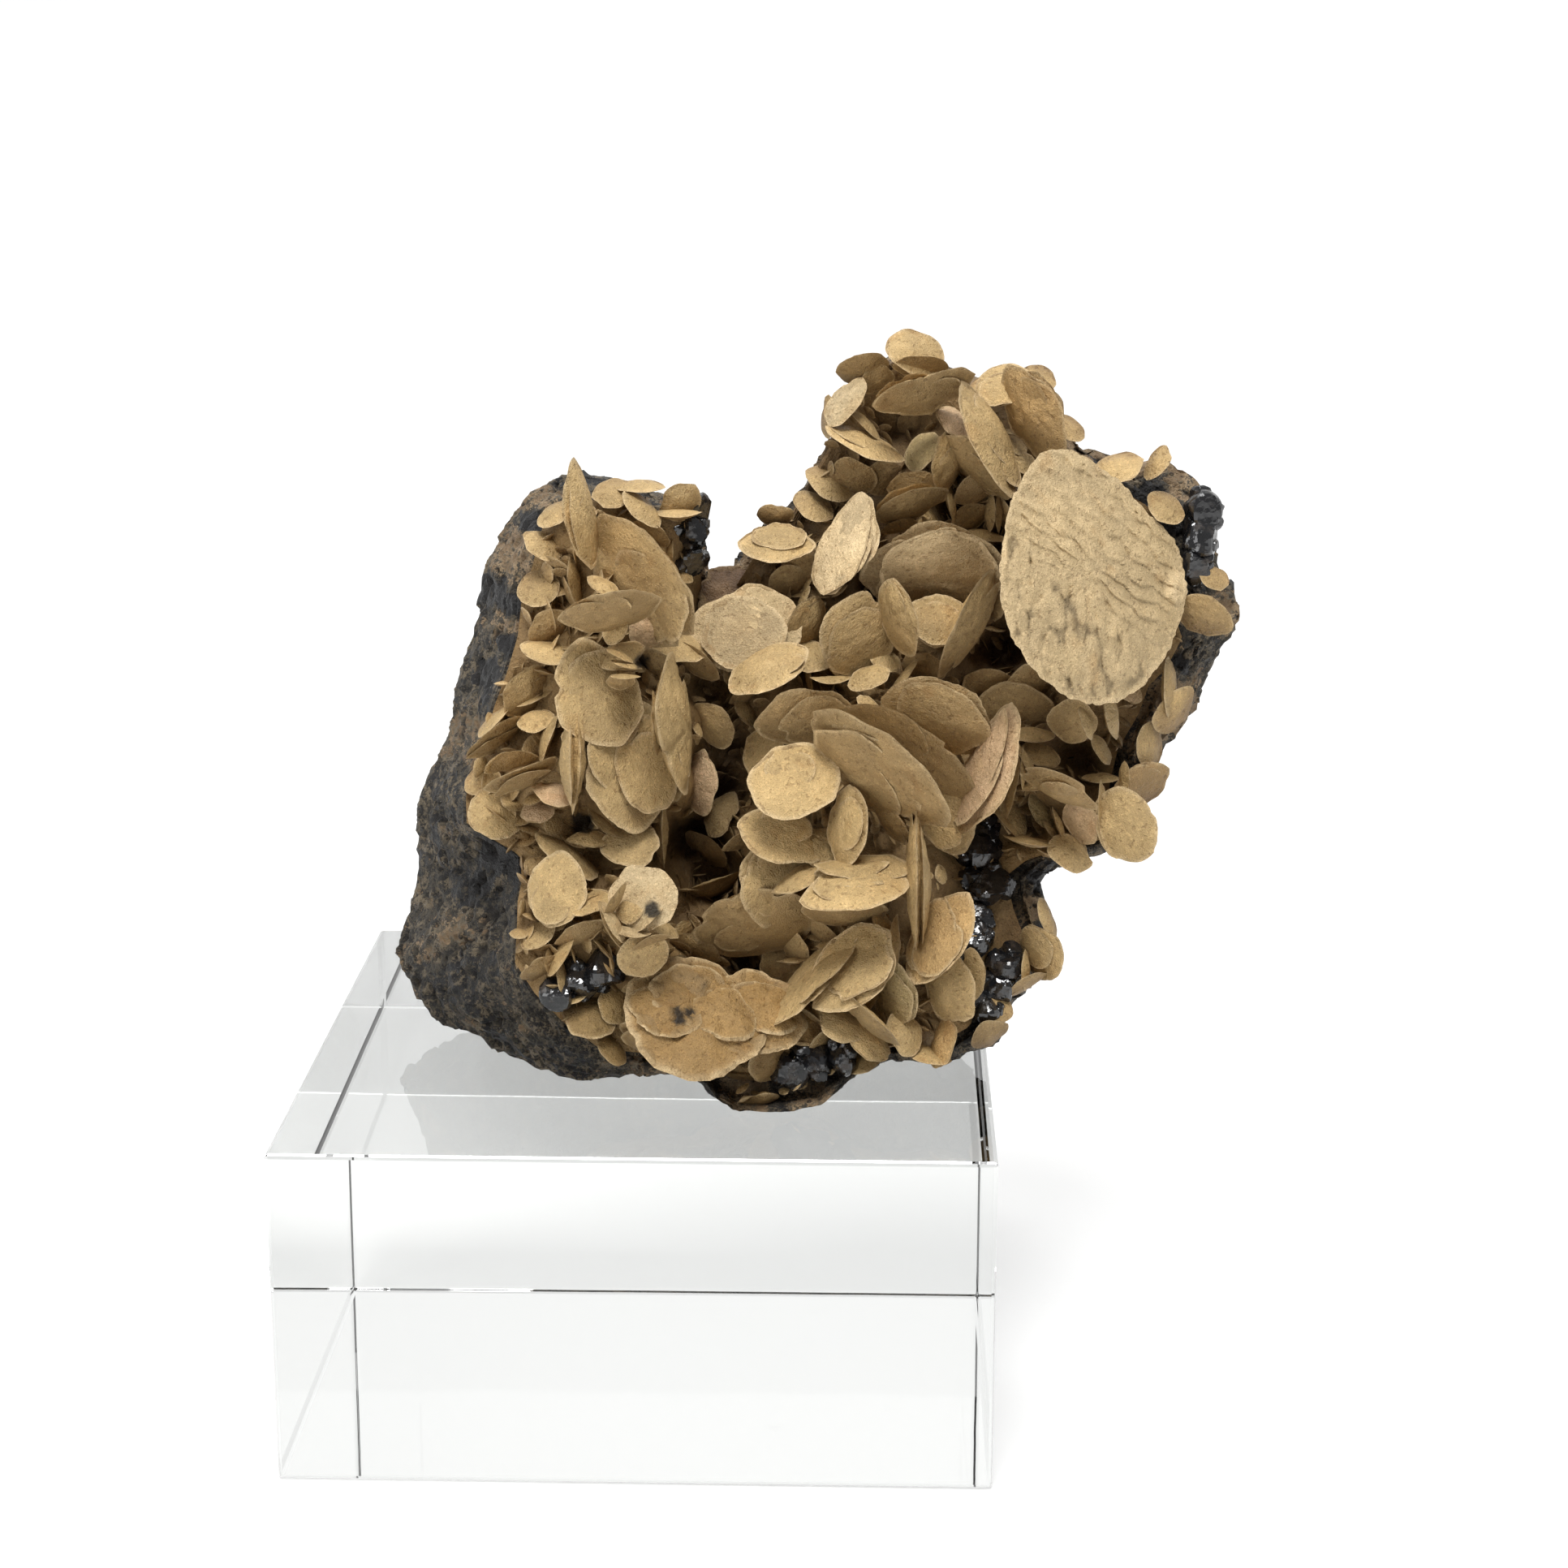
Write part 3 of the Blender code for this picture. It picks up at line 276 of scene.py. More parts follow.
class Wire:
    # a shader socket that takes part in sums
    def __init__(self, graph, socket):
        self.graph, self.socket = graph, socket

    def math(self, operation, *others, flip=False):
        terms = [self, *others][::-1] if flip else [self, *others]
        return self.graph.add("ShaderNodeMath", {"operation": operation}, dict(enumerate(terms)))

    def __add__(self, other): return self.math("ADD", other)
    def __radd__(self, other): return self.math("ADD", other)
    def __sub__(self, other): return self.math("SUBTRACT", other)
    def __rsub__(self, other): return self.math("SUBTRACT", other, flip=True)
    def __mul__(self, other): return self.math("MULTIPLY", other)
    def __rmul__(self, other): return self.math("MULTIPLY", other)

    def between(self, low, high, fromValue=0.0, toValue=1.0):
        # smoothstep from low to high
        return self.graph.add("ShaderNodeMapRange", {"interpolation_type": "SMOOTHSTEP"}, {
            "Value": self, "From Min": low, "From Max": high, "To Min": fromValue, "To Max": toValue,
        })


class Graph:
    # one material's nodes
    def __init__(self, name):
        self.material = bpy.data.materials.new(name)
        self.material.use_nodes = True
        self.tree = self.material.node_tree
        self.tree.nodes.clear()

    def add(self, kind, settings=None, values=None, output=0):
        node = self.tree.nodes.new(kind)
        for key, value in (settings or {}).items():
            setattr(node, key, value)
        for key, value in (values or {}).items():
            if isinstance(value, Wire):
                self.tree.links.new(value.socket, node.inputs[key])
            else:
                node.inputs[key].default_value = value
        return Wire(self, node.outputs[output]) if node.outputs else None

    def place(self):
        return self.add("ShaderNodeTexCoord", output="Object")

    def attribute(self, name, output="Color"):
        return self.add("ShaderNodeAttribute", {"attribute_name": name}, output=output)

    def noise(self, where, size, detail=3.0, roughness=0.55, distortion=0.0):
        # size is the width of one blotch in metres
        return self.add("ShaderNodeTexNoise", None, {
            "Vector": where, "Scale": 1 / size, "Detail": detail, "Roughness": roughness,
            "Distortion": distortion,
        })

    def cells(self, where, size):
        return self.add("ShaderNodeTexVoronoi", None, {"Vector": where, "Scale": 1 / size})

    def mix(self, first, second, factor, blend="MIX"):
        return self.add("ShaderNodeMix", {"data_type": "RGBA", "blend_type": blend}, {
            0: factor, 6: first, 7: second,
        }, output=2)

    def tinted(self, tone, *tint):
        return self.mix(tone, shade(*tint), 1.0, "MULTIPLY")

    def channels(self, colour):
        split = self.add("ShaderNodeSeparateColor", None, {"Color": colour})
        return [Wire(self, socket) for socket in split.socket.node.outputs]

    def bump(self, height, distance, strength=1.0):
        values = {"Height": height, "Distance": distance, "Strength": strength}
        return self.add("ShaderNodeBump", None, values)

    def surface(self, shader):
        self.add("ShaderNodeOutputMaterial", None, {"Surface": shader})
        return self.material

    def principled(self, values):
        return self.surface(self.add("ShaderNodeBsdfPrincipled", None, values))


def shade(red, green, blue):
    return (red, green, blue, 1.0)


print("sight plane and helpers ready")

# Crystals. A row is right, down, width across, lean (the face's angle from the line of sight),
# toward (the way it then looks, counterclockwise from right), thickness share and lift.
crystalRows = {
    "leftWall": (
        (75.6, 113.6, 5.6, 78, 28, 0.24, 9), (77.4, 114.8, 5, 76, 78, 0.24, 8.5),
        (79.4, 113.6, 5.4, 76, 128, 0.24, 8.5), (75.8, 111, 4.6, 74, -32, 0.24, 9),
        (80.4, 115.8, 5.2, 78, -72, 0.22, 8), (76.4, 80.7, 3.6, 74, 62, 0.24, 9),
        (77.2, 81.9, 3.8, 76, 75, 0.24, 9), (77, 83.3, 3.4, 78, 88, 0.24, 9),
        (71.6, 63.7, 12.4, 70, 9, 0.24, 3), (75.7, 60.7, 5.5, 40, 100), (78.8, 59.8, 6, 68, 90),
        (79.2, 62.7, 5.8, 55, 45, 0.26, 1), (83.8, 61.8, 5.6, 35, -60, 0.42),
        (83.2, 63.4, 6, 80, 90, 0.26, 1), (80.3, 65.7, 5.2, 65, -117), (82.5, 68.3, 3.8, 70, 180),
        (81.6, 67.7, 2.6, 40, 0), (84.1, 70.8, 3, 40, 60), (79.2, 71.9, 17.5, 48, -145, 0.16, 1.5),
        (75.2, 75.2, 11.9, 68, -79, 0.28, 5), (70.8, 71.8, 6, 75, 10), (75.9, 77.2, 4.6, 40, 160, 0.3, 4),
        (80, 77.5, 5.3, 25, -60, 0.3, 5), (76.4, 80.8, 5.5, 40, 110, 0.26, 4),
        (77.2, 82.5, 3, 85, 90, 0.2, 6), (76.5, 84, 3.4, 50, -90, 0.26, 5),
        (74.5, 72.3, 4.4, 55, 60, 0.26, 4), (73.5, 85.8, 13.2, 35, 20, 0.16, 1),
        (77.8, 94.6, 15.5, 42, 0, 0.14, 1), (82.8, 89.2, 16.3, 80, 5, 0.31, 1.5),
        (70.8, 93.8, 11.7, 78, 178, 0.32, 2), (81, 81.8, 5.6, 55, -120, 0.26, 3),
        (85.6, 81.3, 7.8, 65, -125, 0.26, 2), (83.8, 79.8, 6.6, 45, 80, 0.26, 2),
        (88, 89.2, 6.6, 45, -140, 0.24, 3), (86.3, 96.3, 8, 50, 180, 0.24, 3),
        (81.3, 102.2, 9.5, 82, 180, 0.28, 1), (77.8, 104, 7.2, 35, 100, 0.24, 2),
        (79.4, 110.6, 8.2, 10, 90, 0.26, 4.5), (77.5, 112.2, 3.4, 20, 120, 0.34, 7.5),
        (75.9, 114.6, 7.6, 76, 33, 0.28, 4), (78.8, 114.8, 4.6, 78, 180, 0.3, 6),
        (81.4, 114.1, 5, 68, 60, 0.3, 6), (79.3, 117.6, 6.4, 25, -60, 0.24, 4), (83.6, 115.4, 4.8, 50, -40),
        (68.6, 109.6, 8.8, 25, 170, 0.24, 2), (66.2, 106.8, 3.4, 30, 90),
        (72.8, 111.2, 5.6, 50, 100, 0.26, 1), (71.8, 115, 6.6, 60, -70), (69, 117.6, 6, 68, 150),
        (66.5, 119.3, 5.2, 58, -60), (66.3, 115.2, 4.6, 40, 120), (69.4, 120.6, 4.2, 70, 10),
        (70, 105.6, 8.6, 70, 55, 0.24, 1.5), (66.1, 88.8, 4.6, 45, 100, 0.26, 2),
        (61.2, 91, 8.6, 74, -55, 0.2), (63, 93.8, 6.6, 64, -75, 0.26, 2), (64.4, 95.8, 9.6, 74, -68, 0.2, 2),
        (67.4, 90.9, 5.8, 70, 160, 0.26, 1), (64.8, 85.2, 7.2, 45, -40), (60.8, 88.9, 5.4, 70, 135),
        (59.6, 96, 5.2, 40, 120), (61, 100.4, 7.2, 25, 60, 0.3), (68.6, 97.7, 6, 55, 80, 0.26, 2),
        (66.2, 100.1, 4.2, 40, 100, 0.26, 1), (72.6, 103.4, 5, 60, 90, 0.26, 5),
        (74.3, 101.6, 4.8, 72, 50, 0.26, 5), (67.5, 80.4, 6.4, 58, 80, 0.26, 1), (67.8, 77.4, 6.2, 45, -60),
        (66.3, 72.6, 5.6, 30, 110), (67, 67.2, 5.4, 40, 60), (68.4, 63.2, 5.2, 50, 120),
    ),
    "hollow": (
        (92, 77.6, 13, 15, 100, 0.24, 3), (99.2, 77, 7.8, 52, -30, 0.26, 2.5),
        (99.6, 80.9, 6.2, 45, 80, 0.26, 3), (90.6, 73.6, 9.8, 20, 60, 0.16),
        (95.6, 67, 9.2, 48, 90, 0.24, 2), (95.6, 63.5, 4.6, 50, -90), (100.3, 62.4, 5.6, 45, 60, 0.26, 1),
        (99.2, 70.2, 5.8, 35, -90), (97.2, 71.8, 5.2, 35, -60), (104.2, 67.3, 12.6, 50, 158, 0.18, 3.5),
        (102.2, 59.6, 6.6, 45, 60), (94.8, 82.6, 10.6, 57, 117, 0.28, 7),
        (105.8, 78.2, 11.2, 36, -40, 0.22, 2.5), (115, 70.8, 16.6, 42, -90, 0.18, 2.5),
        (110.9, 75.9, 9.6, 62, 200, 0.3, 5), (115.6, 76.4, 7.6, 15, 60, 0.4, 3.5),
        (119.6, 76.5, 14.8, 76, -27, 0.26, 3), (107, 83.4, 5.4, 48, 110, 0.3, 4.5),
        (109, 81.3, 4.4, 45, 60, 0.26, 2), (113.8, 82.2, 5.6, 45, -100, 0.26, 1),
        (111.6, 83.2, 4.4, 74, 140, 0.26, 3), (102.4, 83.8, 4.8, 74, 90, 0.26, 3),
        (115.6, 88.2, 13.2, 40, -110, 0.2, 2), (97.8, 96.2, 10.8, 25, 90, 0.2, 6),
        (94.2, 92.6, 7.2, 42, 160, 0.22, 3.5), (100, 88.8, 12.6, 48, -90, 0.2, 3.5),
        (111.4, 93, 18.4, 52, -122, 0.16, 1.5), (107.4, 87.4, 4.6, 55, 40, 0.26, 4),
        (108.4, 94.6, 19.6, 64, -131, 0.22, 5.5), (116.2, 100.6, 9.6, 35, -150, 0.2, 3),
        (115.8, 95.8, 7.6, 65, -135, 0.26, 3), (121.7, 94.8, 16.2, 70, 159, 0.24, 4.5),
        (104.4, 101.8, 9.6, 55, 175, 0.26, 4.5), (109.6, 100.6, 8.6, 74, -142, 0.34, 3),
        (105.4, 109.6, 12.2, 58, 100, 0.24, 6), (98.8, 108.2, 7.2, 64, 115, 0.26, 7),
        (106.4, 107.4, 11.6, 68, 95, 0.22, 3.5), (104, 112.4, 10.2, 60, -90, 0.24, 2),
        (112.9, 108.5, 16.6, 86, 0, 0.19, 3.5), (115.9, 115.8, 12.0, 54, 149, 0.22, 4.5),
        (96.4, 103, 10.2, 40, 70, 0.2, 3), (95.8, 108, 12.2, 40, -10, 0.18, 3),
        (101.4, 104.4, 5.8, 30, 60, 0.26, 3), (91.2, 103.6, 4.6, 62, -60, 0.26, 6),
        (93, 114, 14.6, 48, -80, 0.18, 4), (87.6, 109.4, 8.2, 70, -70, 0.26, 2),
        (105, 119.4, 12.6, 42, 135, 0.2, 3.5), (100.4, 120.4, 15.2, 74, 136, 0.16, 2),
        (109.2, 114.8, 5.6, 60, 30, 0.26, 2), (110.2, 115.8, 6.2, 75, 0, 0.26, 3),
        (107.6, 116.6, 5.2, 45, 120, 0.26, 4), (110, 122.2, 8.6, 45, -160, 0.24, 3),
        (116.8, 121.8, 8.8, 40, -160, 0.24, 3), (119.6, 120.2, 6.4, 50, 180, 0.26, 1),
        (116.1, 128.5, 6.4, 62, 165, 0.3, 2), (103.6, 126.2, 6.2, 45, 60, 0.3, 1),
        (107, 128.2, 6.6, 50, 45, 0.3, 1), (111.4, 127.4, 5.8, 40, 30, 0.3, 1.5),
        (114, 129.9, 6.4, 72, 75, 0.26, 0.5), (107.2, 125.8, 9.2, 76, -133, 0.24, 4),
        (107.4, 122.8, 3.6, 70, 160, 0.26, 4), (101.2, 103.2, 4.4, 76, 90, 0.26, 1),
        (104.2, 114, 4.4, 68, 30), (101.4, 115, 4.8, 60, -130), (98, 117, 5, 50, -160),
        (95.6, 119.2, 5.6, 40, 170), (87, 104.6, 6.6, 60, -130), (88.8, 100.4, 6.2, 45, 150),
        (85.8, 116.8, 6.2, 50, -110), (92, 87.6, 4.6, 50, 30), (92.2, 85.4, 5, 60, -60),
    ),
    "foot": (
        (85.6, 125.2, 17.8, 38, 68, 0.2, 2), (93.2, 124.6, 12.4, 35, 70, 0.22, 1), (72.8, 125.2, 7, 40, 80),
        (75.8, 124, 4.8, 30, 40, 0.26, 1), (79.6, 121.2, 5.6, 60, -70), (98.6, 125.8, 8, 40, 80, 0.3),
        (95, 130.6, 6.4, 40, -40, 0.4), (89.4, 129.6, 5.6, 60, 60), (86.8, 131, 5.2, 66, 75),
        (106.4, 130.6, 5.4, 55, 120), (75.4, 129.2, 5, 60, 40), (93.4, 135.4, 5.2, 70, -80),
        (80.4, 128.6, 8.6, 62, -118, 0.2, 1),
    ),
    "rightLobe": (
        (134.6, 70.6, 31.6, 44, 20, 0.12, 4), (145.6, 72.6, 5.4, 25, 40, 0.4, 3),
        (144.0, 84.6, 7.4, 70, 0, 0.3), (132.2, 88.8, 6.2, 30, -120, 0.24, 4),
        (133.9, 89, 4, 58, 20, 0.3, 7), (136.9, 88, 6.2, 66, 10, 0.3, 5), (135.7, 92.4, 4.2, 55, 30, 0.3, 6),
        (139.3, 85.4, 3.2, 30, 60, 0.26, 4), (137.2, 84.2, 4, 70, 80, 0.26, 4),
        (138.7, 101.7, 9.2, 30, -160, 0.24, 3), (140.4, 96.8, 8, 42, -60, 0.22), (141.6, 92, 6.4, 50, 0),
        (144.6, 87.6, 6.8, 45, -40), (135.6, 95.9, 4.4, 68, 90, 0.26, 4), (138.6, 95.9, 4, 70, 180, 0.26, 4),
        (133.2, 101.2, 6, 45, -150, 0.26, 2), (135.8, 99.6, 6.4, 72, 0, 0.26, 2),
        (130.4, 97, 9.8, 70, -117, 0.32, 5), (127.4, 96.8, 4.6, 72, 100, 0.26, 3),
        (131.8, 105.2, 6.2, 42, 60, 0.28, 0.5), (126.8, 103.8, 6.4, 80, 80, 0.2, 4),
        (128.4, 99.8, 5, 45, 30, 0.26, 1), (130.5, 101.6, 4.6, 76, 20, 0.26, 1),
        (121.6, 84.4, 6.6, 52, -90, 0.26, 2), (126.8, 84.4, 7.2, 45, -60, 0.26, 1),
        (125, 87.6, 10.2, 40, -90, 0.2), (124.6, 96.8, 7.2, 80, 170, 0.18, 3),
        (123.6, 95.4, 6.6, 80, 165, 0.18, 2), (126, 94.8, 5, 78, 0, 0.2, 3),
        (124.2, 101.6, 6.4, 78, 40, 0.18, 4), (124.8, 100.8, 5.6, 45, 20, 0.26, 1),
        (127.4, 90.4, 5.6, 68, 85, 0.26, 3), (128.2, 93, 5, 50, 70, 0.26, 2),
        (126.4, 93.6, 4.6, 70, 30, 0.26, 3), (128.2, 117.2, 7.6, 45, -160),
         (126.4, 119.6, 4.8, 70, 0, 0.26, 1), (122.6, 124, 4.8, 35, 60),
        (121.8, 127.4, 5, 45, -60), (126.4, 121.2, 5.4, 66, -60), (129, 113.2, 5.2, 60, 20),
        (142.6, 57, 4.6, 50, 150), (137.8, 57.6, 6.4, 45, 110), (143.6, 62.6, 5.2, 35, 60),
        (149.6, 71.2, 4, 30, 60), (148.4, 75.8, 7.2, 45, -120), (131.6, 52.8, 4.6, 40, 60),
    ),
    "topLobe": (
        (112.8, 43.4, 7.4, 28, 60, 0.26, 2), (113.4, 45.2, 6.4, 62, -90, 0.26, 2),
        (113.9, 48.2, 12.3, 68, -73, 0.26, 5), (106.3, 45.4, 6.8, 62, -80, 0.26, 1),
        (108, 46.8, 4.8, 50, -60, 0.26, 1), (104.2, 49.6, 7.2, 52, 145, 0.2, 3),
        (106.6, 52.2, 5.2, 70, 45, 0.26, 3), (106.5, 54.7, 9.8, 64, 67, 0.22, 4),
        (102.2, 51.4, 5.4, 60, 180), (109.4, 49.8, 4.4, 60, 60), (112.6, 52.2, 4.2, 35, -90),
        (109.4, 52, 3.8, 35, -60), (121.7, 54.2, 14.6, 64, 25, 0.22, 4),
        (120.4, 57.4, 10.8, 68, -130, 0.22, 2), (117.6, 51.9, 5.2, 45, 50, 0.3, 3),
        (127.3, 51, 12, 54, -152, 0.24, 3.5), (123.6, 47.6, 7.6, 35, 110, 0.26, 2), (128, 46.6, 4.8, 40, 70),
        (121.6, 47.4, 5.2, 50, 120, 0.26, 1), (129.6, 49.6, 4.2, 45, 30),
        (116.6, 56.6, 8.6, 64, -15, 0.3, 2), (113.7, 55.6, 5.8, 50, 150, 0.26, 2),
        (112.6, 60.2, 6.6, 42, -90, 0.24, 2), (112.4, 62.1, 9.8, 72, -72, 0.22, 4),
        (117.2, 62, 5.2, 76, 10, 0.26, 4), (120.2, 60.2, 6, 50, -60, 0.26, 4),
        (119.4, 63.8, 5.2, 45, -60, 0.26, 2), (122, 63.2, 4.8, 72, 180, 0.26, 2),
        (123, 63.4, 4.6, 72, 0, 0.26, 2), (121.2, 65.8, 5.6, 70, 80, 0.26, 2),
        (111, 64.8, 5, 72, -75, 0.26, 2), (114.6, 64.2, 4, 50, 20, 0.26, 1),
        (105, 58.8, 6.6, 45, -100, 0.26, 1), (108.8, 58.8, 5.6, 40, -60, 0.26, 1), (125, 54.8, 3.6, 45, 60),
        (126, 57, 3.6, 30, 60, 0.26, 2), (116.4, 60, 4, 50, 40),
    ),
}
# tones are linear albedo; a spot names the crystal nearest to it
tones = {
    "tan": (0.50, 0.345, 0.150),
    "pale": (0.63, 0.475, 0.265),
    "cream": (0.51, 0.375, 0.195),
    "pink": (0.53, 0.36, 0.20),
    "grey": (0.53, 0.40, 0.22),
    "golden": (0.47, 0.30, 0.12),
    "olive": (0.39, 0.29, 0.13),
    "brown": (0.22, 0.13, 0.06),
}
tones = {name: np.array(tone) for name, tone in tones.items()}
toneSpots = (
    (80, 77.5, "pink"), (86.3, 96.3, "pink"), (68.7, 97.8, "pink"), (66.2, 100.1, "pink"),
    (104.2, 49.6, "grey"), (117.4, 51.7, "pink"), (121.7, 94.8, "pink"), (139.4, 85.4, "pink"),
    (133.4, 101.2, "pink"), (120.2, 60, "grey"), (116.4, 115.6, "golden"), (116.1, 128.6, "golden"),
    (140.5, 96.9, "golden"), (127.3, 51, "golden"), (110, 122.1, "olive"), (113.7, 55.5, "olive"),
    (128.4, 100, "olive"), (90.6, 73.6, "brown"), (99.2, 60, "grey"), (79.4, 110.6, "grey"),
    (97.8, 96.2, "tan"), (92, 77.6, "cream"), (115, 70.8, "pale"), (75.6, 113.6, "cream"),
    (77.4, 114.8, "cream"), (79.4, 113.6, "cream"), (104.2, 67.3, "pale"), (111.4, 93, "tan"),
    (108, 91, "cream"), (95, 130.6, "golden"), (93.4, 135.4, "golden"), (98.6, 125.8, "golden"),
    (89.4, 129.6, "golden"), (86.8, 131, "golden"), (93.2, 124.6, "golden"), (85.6, 125.2, "golden"),
)
# broken crystals: right, down, how deep the rim is eaten as a share of the radius, lumps in mm
brokenSpots = (
    (92, 77.6, 0.05, 0.18), (90.6, 73.6, 0.2, 0.5), (95.6, 67, 0.09, 0.2), (101.4, 104.4, 0.14, 0.4),
    (85.6, 125.2, 0.05, 0.85), (93.2, 124.6, 0.09, 0.7), (61.2, 91, 0.06, 0.2), (63, 93.8, 0.08, 0.2),
    (95, 130.6, 0.12, 0.6), (93.4, 135.4, 0.15, 0.5), (98.6, 125.8, 0.06, 0.3),
)
# dark inclusions on the crystals: right, down, radius
inclusions = (
    (80.4, 112.2, 1.1), (79.1, 81.6, 1.0), (99.2, 60, 0.35), (71.8, 101.4, 1.5), (83.6, 125.2, 1.1),
    (85, 124.8, 0.8),
)
lens = {
    "rings": 19,
    "sides": 62,
    "smallRings": 10,
    "smallSides": 34,
    "smallUnder": 7.0,       # mm across: these get the coarser grid
    "thick": 0.26,           # a row's thickness where it gives none, as a share of its width
    "slim": 0.86,            # share of the rows' thickness that the finished faces keep
    "waves": ((2, 0.030), (3, 0.020), (4, 0.010), (5, 0.010), (7, 0.007)),  # of the rim, and their heights
    "corners": 9,            # straight sides that cut the rim, at these distances in radii
    "cornerReach": (0.88, 1.02),
    "points": (0.12, 0.52),  # how far an outline's two arcs stand apart, in radii
    "ragged": 0.026,         # rim noise, share of the radius
    "profile": (1.25, 1.95),  # power of the face's curve: low is pointed, high is full
    "steps": 4,              # growth steps from centre to rim
    "stepDepth": 0.30,       # of the half thickness
    "bend": 0.04,            # spread of the saddle shape, in radii
    "dish": 0.03,            # spread of the bowl shape
    "grain": 0.055,          # mm of granular relief
    "plates": ((7.5, 1), (11.0, 2), (15.0, 3)),  # from this width, so many plates grown on it
    "plateShare": (0.42, 0.90),  # their width, as a share of the crystal's
    "footShade": (0.64, 0.60, 0.50),  # painted shade: the foot's crystals are darker
}


def paddedRow(row):
    return (*row, lens["thick"], 0.0) if len(row) == 5 else (*row, 0.0)[:7]


def lensFrames(rows):
    # each lens's centre, its two rim directions and its face direction, and its sizes
    right, down, across, lean, toward, thick, lift = np.array([paddedRow(row) for row in rows], float).T
    lean, toward = np.radians(lean)[:, None], np.radians(toward)[:, None]
    look = rightWay * np.cos(toward) + upWay * np.sin(toward)
    normal = look * np.sin(lean) - forward * np.cos(lean)
    longWay = upWay * np.cos(toward) - rightWay * np.sin(toward)
    rise = across * (0.5 * thick * np.cos(lean[:, 0]) + 0.28 * np.sin(lean[:, 0]))
    tone = np.array([tones["tan"]] * len(rows))
    crumble = np.zeros((len(rows), 2))
    for spotRight, spotDown, name in toneSpots:
        gap = np.hypot(right - spotRight, down - spotDown)
        if gap.min() < 1.2:
            tone[gap.argmin()] = tones[name]
    for spotRight, spotDown, eaten, lumps in brokenSpots:
        gap = np.hypot(right - spotRight, down - spotDown)
        if gap.min() < 1.2:
            crumble[gap.argmin()] = eaten, lumps
    return {
        "centre": place(right, down, floorOut(right, down) + rise + lift),
        "long": longWay, "normal": normal, "across": across, "thick": thick,
        "tone": tone, "crumble": crumble,
    }


def joinFrames(frames):
    return {key: np.concatenate([each[key] for each in frames]) for key in frames[0]}


def withPlates(frames, seed):
    # adds the subparallel plates that stand on a lens: smaller, shifted in its plane and tilted a little
    dice = np.random.default_rng(seed)
    count = np.zeros(len(frames["across"]), int)
    for least, number in lens["plates"]:
        count = np.where(frames["across"] >= least, number, count)
    parent = np.repeat(np.arange(len(count)), count)
    n = len(parent)
    share = dice.uniform(*lens["plateShare"], n)
    angle = dice.uniform(0, math.tau, n)
    reach = (1.0 - share) * dice.uniform(0.5, 1.0, n)
    half = frames["across"][parent] * mm / 2
    longWay, normal = frames["long"][parent], frames["normal"][parent]
    shortWay = np.cross(normal, longWay)
    side = longWay * np.cos(angle)[:, None] + shortWay * np.sin(angle)[:, None]
    facing = np.where(dice.random(n) < 0.8, 1, -1)
    level = half * frames["thick"][parent] * (1 - reach**1.6) * dice.uniform(0.30, 0.62, n) * facing
    turned = normal + dice.normal(0, 0.06, (n, 3))
    turned /= np.linalg.norm(turned, axis=1, keepdims=True)
    longTurned = np.cross(np.cross(turned, longWay), turned)
    plates = {
        "centre": frames["centre"][parent] + side * (half * reach)[:, None] + normal * level[:, None],
        "long": longTurned / np.linalg.norm(longTurned, axis=1, keepdims=True),
        "normal": turned,
        "across": frames["across"][parent] * share,
        "thick": frames["thick"][parent] * dice.uniform(0.6, 0.95, n),
        "tone": frames["tone"][parent] * dice.uniform(0.9, 1.08, (n, 1)),
        "crumble": frames["crumble"][parent],
    }
    return joinFrames([frames, plates])


def lensRims(frames, half, turn, dice):
    # rim radius = 1 + waves + the nearest of some straight sides + two arcs that meet in a point at
    #   each end of the long way, root(1 + d^2 sin^2) - d |sin|, less noise, bites and what broke off
    n = len(half)
    wobble = sum(
        dice.normal(0, size, (n, 1)) * np.cos(k * turn + dice.uniform(0, math.tau, (n, 1)))
        for k, size in lens["waves"]
    )
    lean = np.cos(turn - dice.uniform(0, math.tau, (n, lens["corners"], 1)))
    straight = dice.uniform(*lens["cornerReach"], (n, lens["corners"], 1)) / np.maximum(lean, 0.3)
    angular = np.where(lean > 0.3, straight, 9).min(axis=1)
    wobble = wobble + 0.55 * (np.minimum(angular, 1.06) - 1.0)
    facingEye = np.abs(frames["normal"] @ forward)
    apart = dice.uniform(*lens["points"], (n, 1)) * (1.1 - 0.85 * facingEye)[:, None]
    arcs = np.sqrt(1 + apart**2 * np.sin(turn) ** 2) - apart * np.abs(np.sin(turn))
    wobble = wobble + arcs * (1 + 0.3 * apart) - 1
    circle = np.stack([np.cos(turn), np.sin(turn), 0 * turn], axis=-1) * half[..., None]
    circle = circle + dice.uniform(0, 900, (n, 1, 3))
    ragged = bumps(circle, 1.3, 3) * 0.5 + bumps(circle, 0.5, 4) * 0.6
    eaten = 0.6 * bumps(circle, 2.6, 5) + 0.7 * bumps(circle, 0.9, 6) + 0.35 * bumps(circle, 0.4, 7)
    eaten = np.clip(eaten, 0, 1) * frames["crumble"][:, :1]
    bites = np.clip(bumps(circle, 3.1, 9) - 0.52, 0, 1) * 0.5
    return 1 + wobble + ragged * lens["ragged"] - eaten - bites


